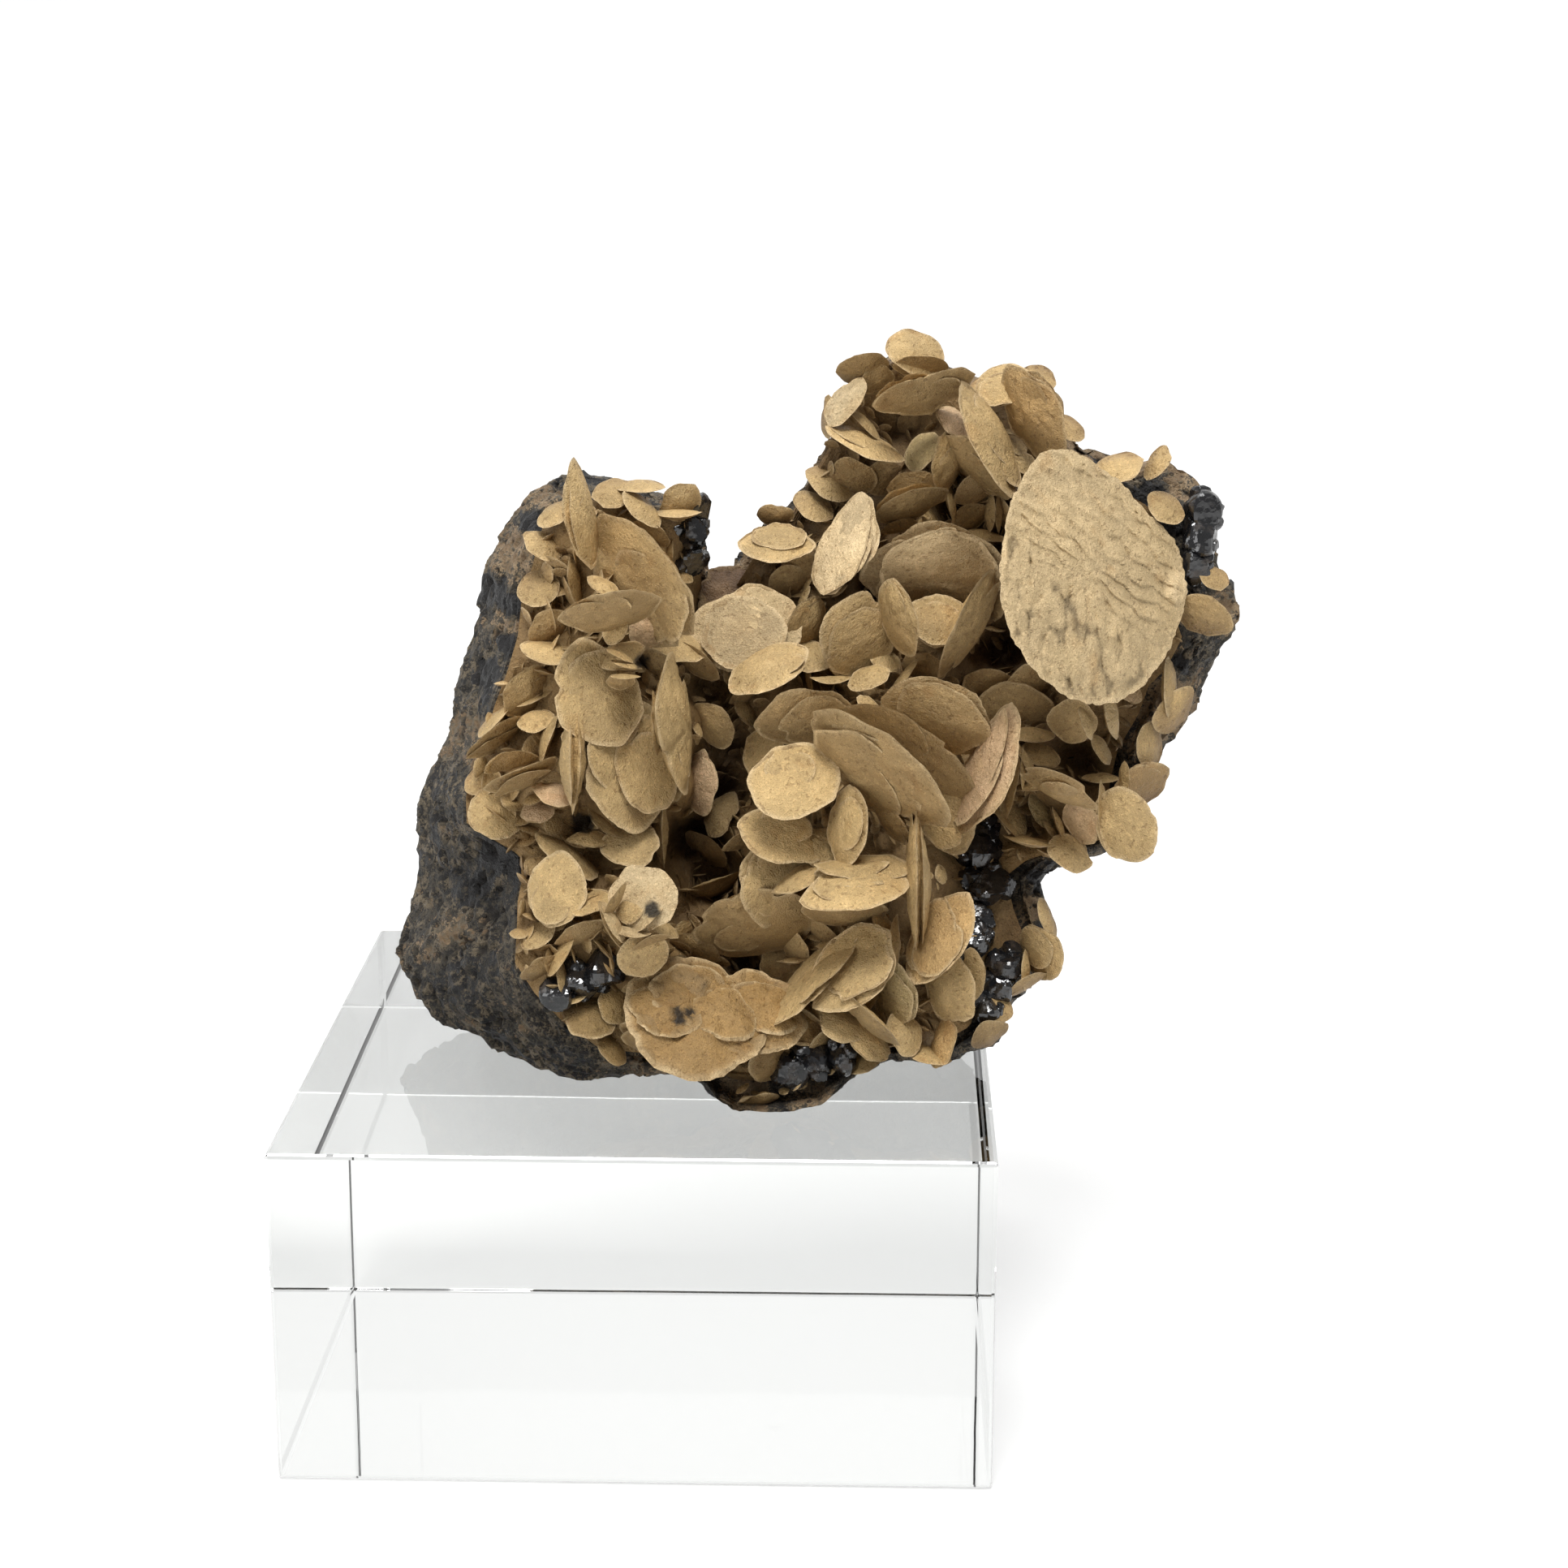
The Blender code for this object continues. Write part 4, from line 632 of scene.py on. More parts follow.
def lensTones(frames, points, where, share, facing, lumps, dice):
    # albedo = the crystal's own, stained at random, with painted shade golden on the faces that look down and
    # dark in broken hollows, and a painted highlight pale at its rim
    along = np.roll(points, -1, axis=2) - np.roll(points, 1, axis=2)
    turned = np.cross(along, np.gradient(points, axis=1))
    turned = turned[..., 2] / np.maximum(np.linalg.norm(turned, axis=-1), 1e-12)
    looks = facing * frames["normal"][:, 2, None, None] + 0 * lumps
    # painted shade: how far each face looks down
    under = smooth(0.25, -0.75, 0.5 * looks + 0.5 * turned)
    edge = np.broadcast_to(smooth(0.86, 1.0, share), lumps.shape)
    tone = frames["tone"][:, None, None, :] * dice.uniform(0.88, 1.1, (len(points), 1, 1, 1))
    tone = tone * (1 + 0.13 * bumps(where, 2.6, 15) + 0.07 * bumps(where, 0.9, 17))[..., None]
    # painted shade: darker golden on the faces that look down
    tone = towards(tone, tones["golden"] * 0.62, under * 0.85)
    # painted shade in the hollows of broken crystals
    tone = tone * (1 - 0.75 * smooth(0.55, 0.95, -lumps))[..., None]
    tone = towards(tone, tones["golden"], 0.35 * smooth(0.1, 0.9, bumps(where, 4.5, 16)))
    # painted highlight: paler towards the rim, less so on the faces that look down
    return towards(tone, tones["pale"], edge * (0.75 - 0.4 * under))


def lensSurface(frames, rings, sides, seed):
    # a lens point = centre + radius * cos(rise) * rim(turn) in its plane
    #   + face * half thickness * (1 - share ** power), with growth steps, a saddle bend and grain
    dice = np.random.default_rng(seed)
    n = len(frames["across"])
    rise = np.linspace(-np.pi / 2, np.pi / 2, rings + 2)
    share, facing = np.cos(rise), np.sign(np.round(rise, 6))
    share[0] = share[-1] = 0.0
    share, facing = share[None, :, None], facing[None, :, None]
    turn = math.tau * np.arange(sides) / sides
    half = frames["across"][:, None] / 2
    radius = half[..., None]
    rim = lensRims(frames, half, turn, dice)
    x = share * (rim * np.cos(turn))[:, None, :]
    y = share * (rim * np.sin(turn))[:, None, :]
    where = np.stack([x, y, 0 * x], axis=-1) * radius[..., None] + dice.uniform(0, 900, (n, 1, 1, 3))
    body = 1 - share ** dice.uniform(*lens["profile"], (n, 1, 1))
    level = body * lens["steps"] + 0.9 * bumps(where, 3.1, 11)
    stepped = (np.floor(level) + smooth(0.72, 1.0, level - np.floor(level)) - level) / lens["steps"]
    inside = smooth(0, 0.10, body)
    relief = stepped * lens["stepDepth"] * 3 + 0.025 * bumps(where, 1.7, 12)
    z = facing * frames["thick"][:, None, None] * lens["slim"] * (body + relief * inside)
    z = z + dice.normal(0, lens["bend"], (n, 1, 1)) * (x**2 - y**2)
    z = z + dice.normal(0, lens["dish"], (n, 1, 1)) * (x**2 + y**2)
    grain = (bumps(where, 0.75, 13) + 0.6 * bumps(where, 0.38, 14)) * lens["grain"] / radius
    z = z + facing * grain * (0.35 + 0.65 * inside)
    lumps = (0.9 * bumps(where, 2.9, 18) + 0.5 * bumps(where, 1.2, 19)) * inside
    lumps = lumps * frames["crumble"][:, 1, None, None]
    z = z + facing * lumps / radius
    shortWay = np.cross(frames["normal"], frames["long"])
    axes = np.stack([frames["long"], shortWay, frames["normal"]], axis=1) * (half * mm)[..., None]
    local = np.stack([x, y, z], axis=-1)
    points = frames["centre"][:, None, None, :] + np.einsum("nrsk,nkc->nrsc", local, axes)
    return points, lensTones(frames, points, where, share, facing, lumps, dice), where * mm


def depthShadeAndInclusions(points, tone, full=-15.0, none=-1.5, most=0.84):
    # painted shade browner deep in the hollow and brown at the roots, where each crystal leaves
    # the floor; and dark at an inclusion, which is the crystal's own colour
    right, down, out = sightOf(points)
    # painted shade: browner deeper in the hollow
    tone = towards(tone, tones["brown"] * 0.5, smooth(none, full, out) * most)
    uneven = 0.3 * bumps(points / mm, 0.8, 21)
    for spotRight, spotDown, size in inclusions:
        away = np.hypot(right - spotRight, down - spotDown) / size
        tone = tone * (1 - 0.92 * smooth(1.1, 0.75, away + uneven))[..., None]
    # painted shade at each crystal's root, where it leaves the floor
    root = smooth(3.4, -0.8, out - floorOut(right, down)) * 0.72
    return towards(tone, tone * np.array((0.36, 0.28, 0.19)), root)


def lensPiece(name, frames, rings, sides, seed, material):
    points, tone, where = lensSurface(frames, rings, sides, seed)
    tone = depthShadeAndInclusions(points, tone)
    quads, triangles = capsOf(rings, sides, len(points))
    piece = newPiece(name, shellList(points), quads, triangles,
                     {"tone": shellList(tone)}, {"grown": shellList(where)}, 50)
    piece.data.materials.append(material)
    return piece


def sideriteMaterial(name, grainSize, pitShadeAmount):
    # the mesh's own tone, lighter and darker in blotches and grains, with rust, and painted shade in small
    # pits
    graph = Graph(name)
    where = graph.attribute("grown", "Vector")
    tone = graph.attribute("tone", "Color")
    blotch = graph.noise(where, 0.0021, 4, 0.6)
    grain = graph.noise(where, grainSize, 3, 0.65)
    fleck = graph.noise(where, grainSize * 0.36, 2, 0.6)
    rust = graph.noise(where, 0.0046, 3, 0.6, 0.6).between(0.56, 0.74)
    pit = graph.noise(where, grainSize * 1.7, 2, 0.5).between(0.30, 0.40, 1.0, 0.0)
    colour = graph.mix(tone, graph.tinted(tone, 1.75, 1.8, 1.95), blotch.between(0.42, 0.72) * 0.30)
    colour = graph.mix(colour, graph.tinted(tone, 0.80, 0.62, 0.42), rust * 0.45)
    colour = graph.mix(colour, graph.tinted(tone, 1.5, 1.5, 1.55), grain.between(0.53, 0.66) * 0.62)
    colour = graph.mix(colour, graph.tinted(tone, 0.5, 0.42, 0.32), fleck.between(0.52, 0.68) * 0.6)
    # painted shade in the small pits
    colour = graph.mix(colour, graph.tinted(tone, 0.45, 0.36, 0.26), pit * pitShadeAmount)
    height = grain * 0.65 + fleck * 0.35 + blotch * 0.5 - pit * 0.2
    return graph.principled({
        "Base Color": colour,
        "Roughness": 0.40 + grain * 0.34,
        "Specular IOR Level": 0.5,
        "Normal": graph.bump(height, 0.00042),
    })


sideriteLarge = sideriteMaterial("siderite_lens", 0.00042, 0.42)
crystalPieces = []


def growCrystals():
    names = {
        "leftWall": "crystals_left_wall", "hollow": "crystals_hollow", "foot": "crystals_foot",
        "rightLobe": "crystals_right_lobe", "topLobe": "crystals_top_lobe",
    }
    for seed, (group, rows) in enumerate(crystalRows.items()):
        if group == "rightLobe":
            rows = rows[2:]  # its first two are the great disc and its knob, a surface of their own
        frames = withPlates(lensFrames(rows), 20 + seed)
        # painted shade: the foot's crystals darkened
        if group == "foot":
            frames["tone"] = frames["tone"] * np.array(lens["footShade"])
        large = frames["across"] >= lens["smallUnder"]
        for part, chosen, rings, sides in (
            ("large", large, lens["rings"], lens["sides"]),
            ("small", ~large, lens["smallRings"], lens["smallSides"]),
        ):
            some = {key: value[chosen] for key, value in frames.items()}
            if len(some["across"]):
                name = f"{names[group]}_{part}"
                crystalPieces.append(lensPiece(name, some, rings, sides, 40 + seed, sideriteLarge))
        print("crystals grown:", group, len(frames["across"]))


growCrystals()

# The great disc of the right lobe: shingled scales above, broken granular bands below.
disc = {
    "centre": (134.6, 70.4, 8.6),   # right, down, out
    "lean": math.radians(38),       # its face's angle from the line of sight
    "toward": math.radians(20),     # the way it looks, counterclockwise from right
    # its rim: angle counterclockwise from right, radius in mm on the sight plane
    "rim": (
        (0, 11.4), (25, 10.6), (42, 10.0), (57, 10.3), (74, 11.6), (88, 13.2), (103, 15.8), (111, 16.4),
        (124, 14.8), (141, 12.8), (158, 11.8), (177, 11.3), (207, 12.2), (226, 13.3), (248, 14.9),
        (265, 16.4), (278, 16.6), (292, 15.8), (306, 14.2), (326, 12.8), (343, 12.2),
    ),
    "rings": 96,
    "sides": 300,
    "thick": 2.1,          # mm from rim plane to face
    "scalePitch": 1.75,    # mm between the scales' edges
    "scaleDepth": 0.50,    # mm
    "tongueLength": 4.4,   # mm along a scale
    "blockSize": 1.25,     # mm across the broken blocks
    "blockDepth": 0.36,    # mm
    "knob": (10.9, -2.2, 1.5),  # right and up of the centre, and its height, mm
}


def discRim(turn):
    # the rim's radii, blurred over a few degrees, and ragged by noise
    rim = np.array(disc["rim"], float)
    reach = np.interp(np.degrees(turn), rim[:, 0], rim[:, 1], period=360)
    blur = np.exp(-0.5 * (np.arange(-12, 13) / 4.5) ** 2)
    reach = np.convolve(np.concatenate([reach[-12:], reach, reach[:12]]), blur / blur.sum(), "valid")
    circle = np.stack([np.cos(turn), np.sin(turn), 0 * turn], axis=-1) * reach[:, None] + 70
    return reach + 0.26 * bumps(circle, 1.2, 41) + 0.16 * bumps(circle, 0.5, 42) - 0.1


def discRelief(right, up, spot):
    # scales rise like a saw across their slope, which runs up and to the right; below, the face is
    # broken into blocks. Gives the height in mm and painted light: lighter on raised scale edges and blocks,
    # with painted shade darker in the cracks
    slope = 0.62 * right + 0.78 * up
    length = 0.78 * right - 0.62 * up
    row = (slope + 1.5 * bumps(spot, 5.5, 31) + 0.35 * bumps(spot, 1.4, 35)) / disc["scalePitch"]
    tongue = np.abs(np.sin(np.pi * (length / disc["tongueLength"] + 0.41 * np.floor(row))))
    scale = row + 0.33 * tongue
    saw = 1 - (scale - np.floor(scale))
    saw = saw * smooth(0, 0.12, 1 - saw)
    broken = smooth(1.0, -7.0, up + 0.85 * right + 2.5 * bumps(spot, 4.0, 32))
    blockSpot = np.stack([right + 0.12 * up, up * 0.36, 0 * up], axis=-1) + 80
    tilt, gap = chips(blockSpot, disc["blockSize"], 33)
    cracks = smooth(0.60, 0.80, gap) * smooth(-0.5, 0.3, bumps(spot, 2.4, 44))
    blocks = 0.85 * tilt - 1.2 * cracks
    shingle = (saw - 0.45) * (0.45 + 0.55 * smooth(-0.6, 0.4, bumps(spot, 3.0, 36)))
    fine = 0.16 * bumps(spot, 0.9, 37) + 0.10 * bumps(spot, 0.45, 38)
    relief = (1 - broken) * shingle * disc["scaleDepth"] + broken * blocks * disc["blockDepth"]
    # painted light and shade: raised scale edges and blocks lighter, cracks darker
    paintedLight = (1 - broken) * (saw - 0.5) * 0.20 + broken * (0.20 * tilt - 0.42 * cracks)
    return relief + fine * 0.6, paintedLight


def growDisc():
    # point = centre + radius(turn) * share on the sight plane; out = tilt of the disc's plane
    #   + side * thickness * (1 - share ** 1.6) + relief + knob
    turn = math.tau * np.arange(disc["sides"]) / disc["sides"]
    reach = discRim(turn)
    rise = np.linspace(-np.pi / 2, np.pi / 2, disc["rings"] + 2)
    share, facing = np.cos(rise), np.sign(np.round(rise, 6))
    share[0] = share[-1] = 0.0
    right = share[:, None] * (reach * np.cos(turn))
    up = share[:, None] * (reach * np.sin(turn))
    spot = np.stack([right, up, 0 * right], axis=-1) + 50
    relief, paintedLight = discRelief(right, up, spot)
    inside = smooth(1.0, 0.93, share)[:, None]
    front = (facing > 0)[:, None]
    knobRight, knobUp, knobHeight = disc["knob"]
    knob = smooth(2.6, 0.6, np.hypot((right - knobRight) / 0.85, (up - knobUp) / 1.25)) * knobHeight
    body = (1 - share**1.6)[:, None] * disc["thick"]
    tilted = right * math.cos(disc["toward"]) + up * math.sin(disc["toward"])
    height = np.where(front, body + relief * inside + knob, -body * 1.2 - 0.05)
    centreRight, centreDown, centreOut = disc["centre"]
    out = centreOut - math.tan(disc["lean"]) * tilted + height
    points = place(centreRight + right, centreDown - up, out)
    # random tone, plus the relief's painted light and shade on the front face
    tone = tones["cream"] * (1 + 0.10 * bumps(spot, 2.8, 43) + front * inside * paintedLight)[..., None]
    tone = towards(tone, tones["pale"] * 1.02, np.clip(knob, 0, 1) * 0.8 * front)
    # painted highlight: paler towards the rim
    tone = towards(tone, tones["pale"], smooth(0.93, 1.0, share)[:, None] * 0.5)
    # painted shade: the back is darker golden
    tone = towards(tone, tones["golden"] * 0.6, np.where(front, 0.0, 0.6) + 0 * right)
    quads, triangles = capsOf(disc["rings"], disc["sides"])
    piece = newPiece("crystal_great_disc", shellList(points[None]), quads, triangles,
                     {"tone": shellList(tone[None])}, {"grown": shellList(points[None])}, 60)
    piece.data.materials.append(sideriteLarge)
    crystalPieces.append(piece)
    print("great disc grown")


growDisc()

# Fine crystals and the crystals' grown-together bases, which cover the floor of the hollow.
crust = {
    "fineCount": 1700,
    "fineSize": (1.6, 4.6),  # mm across
    "fineRings": 3,
    "fineSides": 11,
    "fineThick": (0.18, 0.32),
    "bare": ((146, 62, 5.5), (148.5, 76, 3.5), (141.6, 82, 4.0), (146, 82.4, 2.6), (131, 112, 2.5),
             (123.5, 111, 4.2), (122.6, 118, 3.0)),  # where none grows
    "columns": 380,
    "frontRows": 78,
    "backRows": 26,
    "frontShare": 0.985,
    "under": -4.2,           # mm, the back of the bases below the floor
    "lump": 0.75,            # mm
}
outline = np.array(hollow["outline"], float)
hollowCentre = np.array(hollow["centre"])
girth = outline[:, :2]
rim = hollowCentre + (girth - hollowCentre) * outline[:, 2:3]


def ringAround(line, count):
    # a closed line resampled to count points, evenly along each of its stretches
    step = np.arange(count) * len(line) / count
    low = step.astype(int)
    part = (step - low)[:, None]
    return line[low] * (1 - part) + line[(low + 1) % len(line)] * part


def insideRim(right, down, share):
    # whether a place lies within this share of the rim, by the sign count of its crossings
    edge = hollowCentre + (rim - hollowCentre) * share
    after = np.roll(edge, -1, axis=0)
    x, y = right[:, None], down[:, None]
    spans = (edge[:, 1] > y) != (after[:, 1] > y)
    rise = np.where(after[:, 1] == edge[:, 1], 1e-9, after[:, 1] - edge[:, 1])
    crossing = edge[:, 0] + (y - edge[:, 1]) / rise * (after[:, 0] - edge[:, 0])
    return ((spans & (x < crossing)).sum(axis=1) % 2) == 1


def growFineCrystals():
    # small lenses strewn over the floor, most of them standing on edge, in groups that lean alike
    dice = np.random.default_rng(5)
    right = dice.uniform(48, 155, 9000)
    down = dice.uniform(40, 138, 9000)
    kept = insideRim(right, down, 0.985)
    for bareRight, bareDown, size in crust["bare"]:
        kept &= np.hypot(right - bareRight, down - bareDown) > size
    right, down = right[kept][: crust["fineCount"]], down[kept][: crust["fineCount"]]
    n = len(right)
    spot = np.stack([right, down, 0 * right], axis=-1)
    atRim = ~insideRim(right, down, 0.88)
    across = dice.uniform(*crust["fineSize"], n) * (0.85 + 0.35 * bumps(spot, 14.0, 61))
    across = across * np.where(atRim, 0.6, 1.0)
    lean = np.clip(70 + 24 * bumps(spot, 9.0, 62) + dice.normal(0, 12, n), 20, 89)
    toward = 360 * bumps(spot, 17.0, 63) + dice.normal(0, 40, n)
    thick = dice.uniform(*crust["fineThick"], n) * np.where(atRim, 1.5, 1.0)
    rows = np.stack([right, down, across, lean, toward, thick, dice.uniform(-1.0, 0.9, n)], axis=-1)
    frames = lensFrames(rows)
    tone = tones["tan"] * (1 + 0.14 * bumps(spot, 11.0, 64)[:, None])
    frames["tone"] = towards(tone, tones["golden"], smooth(0.1, 0.8, bumps(spot, 8.0, 65)) * 0.7)
    frames["crumble"] = np.full((n, 2), 0.04)
    rings, sides = crust["fineRings"], crust["fineSides"]
    crystalPieces.append(lensPiece("crystals_fine", frames, rings, sides, 71, sideriteLarge))
    print("fine crystals grown:", n)


def growBases():
    # front: place(ring * share, floor height + noise); back: the same rings, lower; closed by poles
    columns = crust["columns"]
    edge = ringAround(rim, columns)
    front = np.linspace(0, 1, crust["frontRows"] + 1)[1:] ** 0.8 * crust["frontShare"]
    back = np.linspace(1, 0, crust["backRows"] + 1)[1:-1] * crust["frontShare"]
    shares = np.concatenate([front, back])
    ring = hollowCentre + (edge - hollowCentre) * shares[:, None, None]
    floor = floorOut(ring[..., 0], ring[..., 1])
    flat = np.concatenate([ring, floor[..., None]], axis=-1)
    facets, _ = chips(flat, 3.4, 83)
    lump = bumps(flat, 3.2, 81) * 0.45 + facets * 0.9
    lump = lump + bumps(flat, 1.1, 82) * 0.28 + bumps(flat, 0.5, 84) * 0.12
    onFront = (np.arange(len(shares)) < len(front))[:, None]
    tapered = smooth(0.0, 0.06, crust["frontShare"] - shares)[:, None]
    height = np.where(onFront, lump * crust["lump"] * tapered, crust["under"] * tapered - 0.6)
    points = place(ring[..., 0], ring[..., 1], floor + height)
    points[..., 2] = np.maximum(points[..., 2], blockTop + (1.2 + 2.4 * onFront) * mm)
    tone = tones["tan"] * (1 + 0.16 * bumps(flat, 4.0, 85))[..., None]
    warm = smooth(-0.2, 0.7, bumps(flat, 6.0, 86) + 0.4 * facets)
    tone = towards(tone, tones["golden"] * 0.7, warm * 0.8)
    # painted shade: the bases darker deep in the hollow
    tone = depthShadeAndInclusions(points, tone, -13.0, 0.0, 0.85)
    middleOut = floorOut(*hollowCentre)
    first, last = place(*hollowCentre, middleOut), place(*hollowCentre, middleOut + crust["under"] - 0.6)
    spots = poled(points, first, last)
    quads, triangles = capsOf(len(shares), columns)
    piece = newPiece("crystal_bases", spots, quads[:, ::-1], triangles[:, ::-1],
                     {"tone": poled(tone, tone[0, 0], tone[-1, 0])}, {"grown": spots}, 40)
    piece.data.materials.append(sideriteLarge)
    crystalPieces.append(piece)
    print("crystal bases grown")


growFineCrystals()
growBases()

# The rock: a broken, porous mass of dark sulphide with tan patches, hollowed in front.
rock = {
    "columns": 600,
    "frontRows": 12,
    "sideRows": 44,
    "backRows": 80,
    "under": 2.4,   # mm that its hollow lies under the crystals
    "bulge": 1.2,   # mm, the side's swelling
    "facets": ((8.5, 101), (3.1, 111), (1.4, 121)),  # mm across the broken facets, and their seeds
    "chip": 1.3,    # mm, height of the largest of them
    "pit": 0.8,     # mm, depth of the pores
    "depthScale": 0.55,  # the grain is stretched this much less along the line of sight
}


def buildRock():
    # three sheets around the hollow: floor, side from rim to widest outline, and the rounded back,
    # whose rings narrow as cos(turn) ** 0.7 while they go back as sin(turn); noise moves each point in
    columns = rock["columns"]
    rimLine, girthLine = ringAround(rim, columns), ringAround(girth, columns)
    girthOut = ringAround(outline[:, 3:4], columns)[:, 0]
    rimOut = floorOut(rimLine[:, 0], rimLine[:, 1]) - rock["under"]
    share = np.linspace(0, 1, rock["frontRows"] + 1)[1:, None]
    front = hollowCentre + (rimLine - hollowCentre) * share[..., None]
    frontOut = floorOut(front[..., 0], front[..., 1]) - rock["under"]
    way = np.linspace(0, 1, rock["sideRows"] + 1)[1:, None]
    side = rimLine + (girthLine - rimLine) * way[..., None]
    sideOut = rimOut + (girthOut - rimOut) * way + rock["bulge"] * np.sin(np.pi * way)
    turn = np.linspace(0, np.pi / 2, rock["backRows"] + 2)[1:-1, None]
    narrow = np.cos(turn) ** 0.62
    back = hollowCentre + (girthLine - hollowCentre) * narrow[..., None]
    backOut = girthOut + (hollow["back"] - girthOut) * np.sin(turn) ** 1.1
    flat = np.concatenate([front, side, back])
    out = np.concatenate([frontOut, sideOut, backOut])
    points = place(flat[..., 0], flat[..., 1], out)
    outward = gridNormals(points)
    middle = place(*hollowCentre, -14.0)
    outward *= np.sign(((points - middle) * outward).sum(axis=-1, keepdims=True) + 1e-12)
    outward[: rock["frontRows"]] = -forward
    spot = points / mm
    coarse, fine, small = (chips(spot, cell, seed)[0] for cell, seed in rock["facets"])
    depth = rock["chip"] * 0.62 * coarse + 0.5 * fine + 0.24 * small
    depth = depth + 0.45 * rough(spot, 6.0, 4, 131) - 0.25 + 0.13 * bumps(spot, 0.9, 137)
    pores = smooth(0.36, 0.66, bumps(spot, 1.7, 141)) + 0.9 * smooth(0.40, 0.66, bumps(spot, 1.0, 142))
    poreArea = smooth(-0.5, 0.2, bumps(spot, 9.0, 143))
    depth = depth + rock["pit"] * pores * poreArea
    row = np.arange(len(flat))[:, None]
    start = rock["frontRows"]
    free = smooth(start - 1, start + 5, row) * smooth(len(flat) + 2, len(flat) - 12, row)
    nearBlock = smooth(1.0, 7.0, (points[..., 2] - blockTop) / mm)
    hidden = smooth(88, 94, flat[..., 0]) * smooth(66, 60, flat[..., 1])
    depth = np.where(depth > 0, depth * (0.3 + 0.7 * nearBlock), depth * (1 - 0.8 * hidden)) * free
    depth = depth + 0.6 * hidden * free
    points = points - outward * (depth * mm)[..., None]
    raised = np.where(row < start, 1.6, 0.0) + 0.35
    points[..., 2] = np.maximum(points[..., 2], blockTop + (raised + 0.3 * np.abs(small)) * mm)
    tan = 0.5 * smooth(0.1, 0.8, rough(spot, 4.5, 5, 151, 0.7) + 0.2 * fine)
    crusted = smooth(96, 101, flat[..., 0]) * smooth(61, 57, flat[..., 1]) * smooth(-20, -14, out)
    crusted = np.maximum(crusted, smooth(80, 84, flat[..., 0]) * smooth(101, 97, flat[..., 0])
                         * smooth(80, 76, flat[..., 1]) * smooth(-20, -14, out))
    tan = tan + (0.9 - tan) * crusted
    black = 0.7 * smooth(0.0, 0.8, rough(spot, 4.0, 4, 161, 0.7) - 0.2 * fine)
    # painted shade: where the pores lie, to be painted near-black
    dark = pores * poreArea
    for right, down, size, kind, amount in rockSpots:
        around = smooth(1.35, 0.6, np.hypot(flat[..., 0] - right, flat[..., 1] - down) / size
                        + 0.35 * bumps(spot, 2.5, 171)) * (out > -22)
        if kind == "tan":
            tan = tan + (amount - tan) * around
            black = black * (1 - around)
        else:
            black = black + (amount - black) * around
            tan = tan * (1 - around)
    right, down, back = sightOf(points)
    grown = np.stack([right, down, back * rock["depthScale"]], axis=-1) * mm
    marks = np.stack([np.clip(tan, 0, 1), np.clip(black, 0, 1), np.clip(dark, 0, 1)], axis=-1)
    first = place(*hollowCentre, floorOut(*hollowCentre) - rock["under"])
    last = place(*hollowCentre, hollow["back"] + 0.8)
    quads, triangles = capsOf(len(flat), columns)
    piece = newPiece("rock", poled(points, first, last), quads[:, ::-1], triangles[:, ::-1],
                     {"marks": poled(marks, marks[0, 0], marks[-1, 0])},
                     {"grown": poled(grown, grown[0, 0], grown[-1, 0])}, 38)
    print("rock built")
    return piece


# right, down, radius, what shows there, and how strongly
rockSpots = (
    (55.5, 115, 2.0, "tan", 0.62), (52.8, 117.2, 1.5, "tan", 0.55), (63.8, 69, 4.6, "tan", 0.75),
    (66.5, 62.5, 3.0, "tan", 0.75), (62.6, 77, 2.6, "tan", 0.62), (60.5, 72.5, 2.4, "black", 0.8),
    (65.4, 64.2, 1.6, "black", 1.0), (63.5, 74.6, 1.6, "black", 1.0), (60, 83, 2.2, "black", 1.0),
    (63, 79.5, 1.5, "black", 1.0), (62.6, 105.5, 3.2, "black", 1.0), (58.5, 109, 3.6, "black", 0.7),
    (73, 120.5, 4.5, "black", 0.9), (57, 121, 4.0, "black", 0.55), (134, 94.5, 4.2, "black", 1.0),
    (142.6, 62.5, 4.0, "black", 0.8), (146.4, 59.5, 2.4, "tan", 0.8), (149.4, 66.5, 2.0, "tan", 0.6),
    (150.4, 75.5, 2.6, "tan", 0.9), (140.5, 82.5, 1.6, "black", 1.0), (145, 82, 1.4, "black", 1.0),
    (144, 87, 4.2, "tan", 0.9), (141, 92, 2.4, "tan", 0.8), (127.5, 112, 2.6, "tan", 0.9),
    (128.5, 108.5, 2.2, "black", 0.8), (129.2, 115, 2.0, "black", 0.8), (127, 119, 2.6, "tan", 0.7),
    (55.6, 98, 3.6, "black", 0.45), (57.5, 90.5, 2.8, "tan", 0.5), (80, 130.4, 3.0, "tan", 0.6),
    (70.5, 129, 3.5, "black", 0.5), (94.5, 132, 3.0, "tan", 0.9), (92, 134.4, 3.0, "tan", 0.9),
    (99.5, 135.4, 2.6, "tan", 0.7),
)


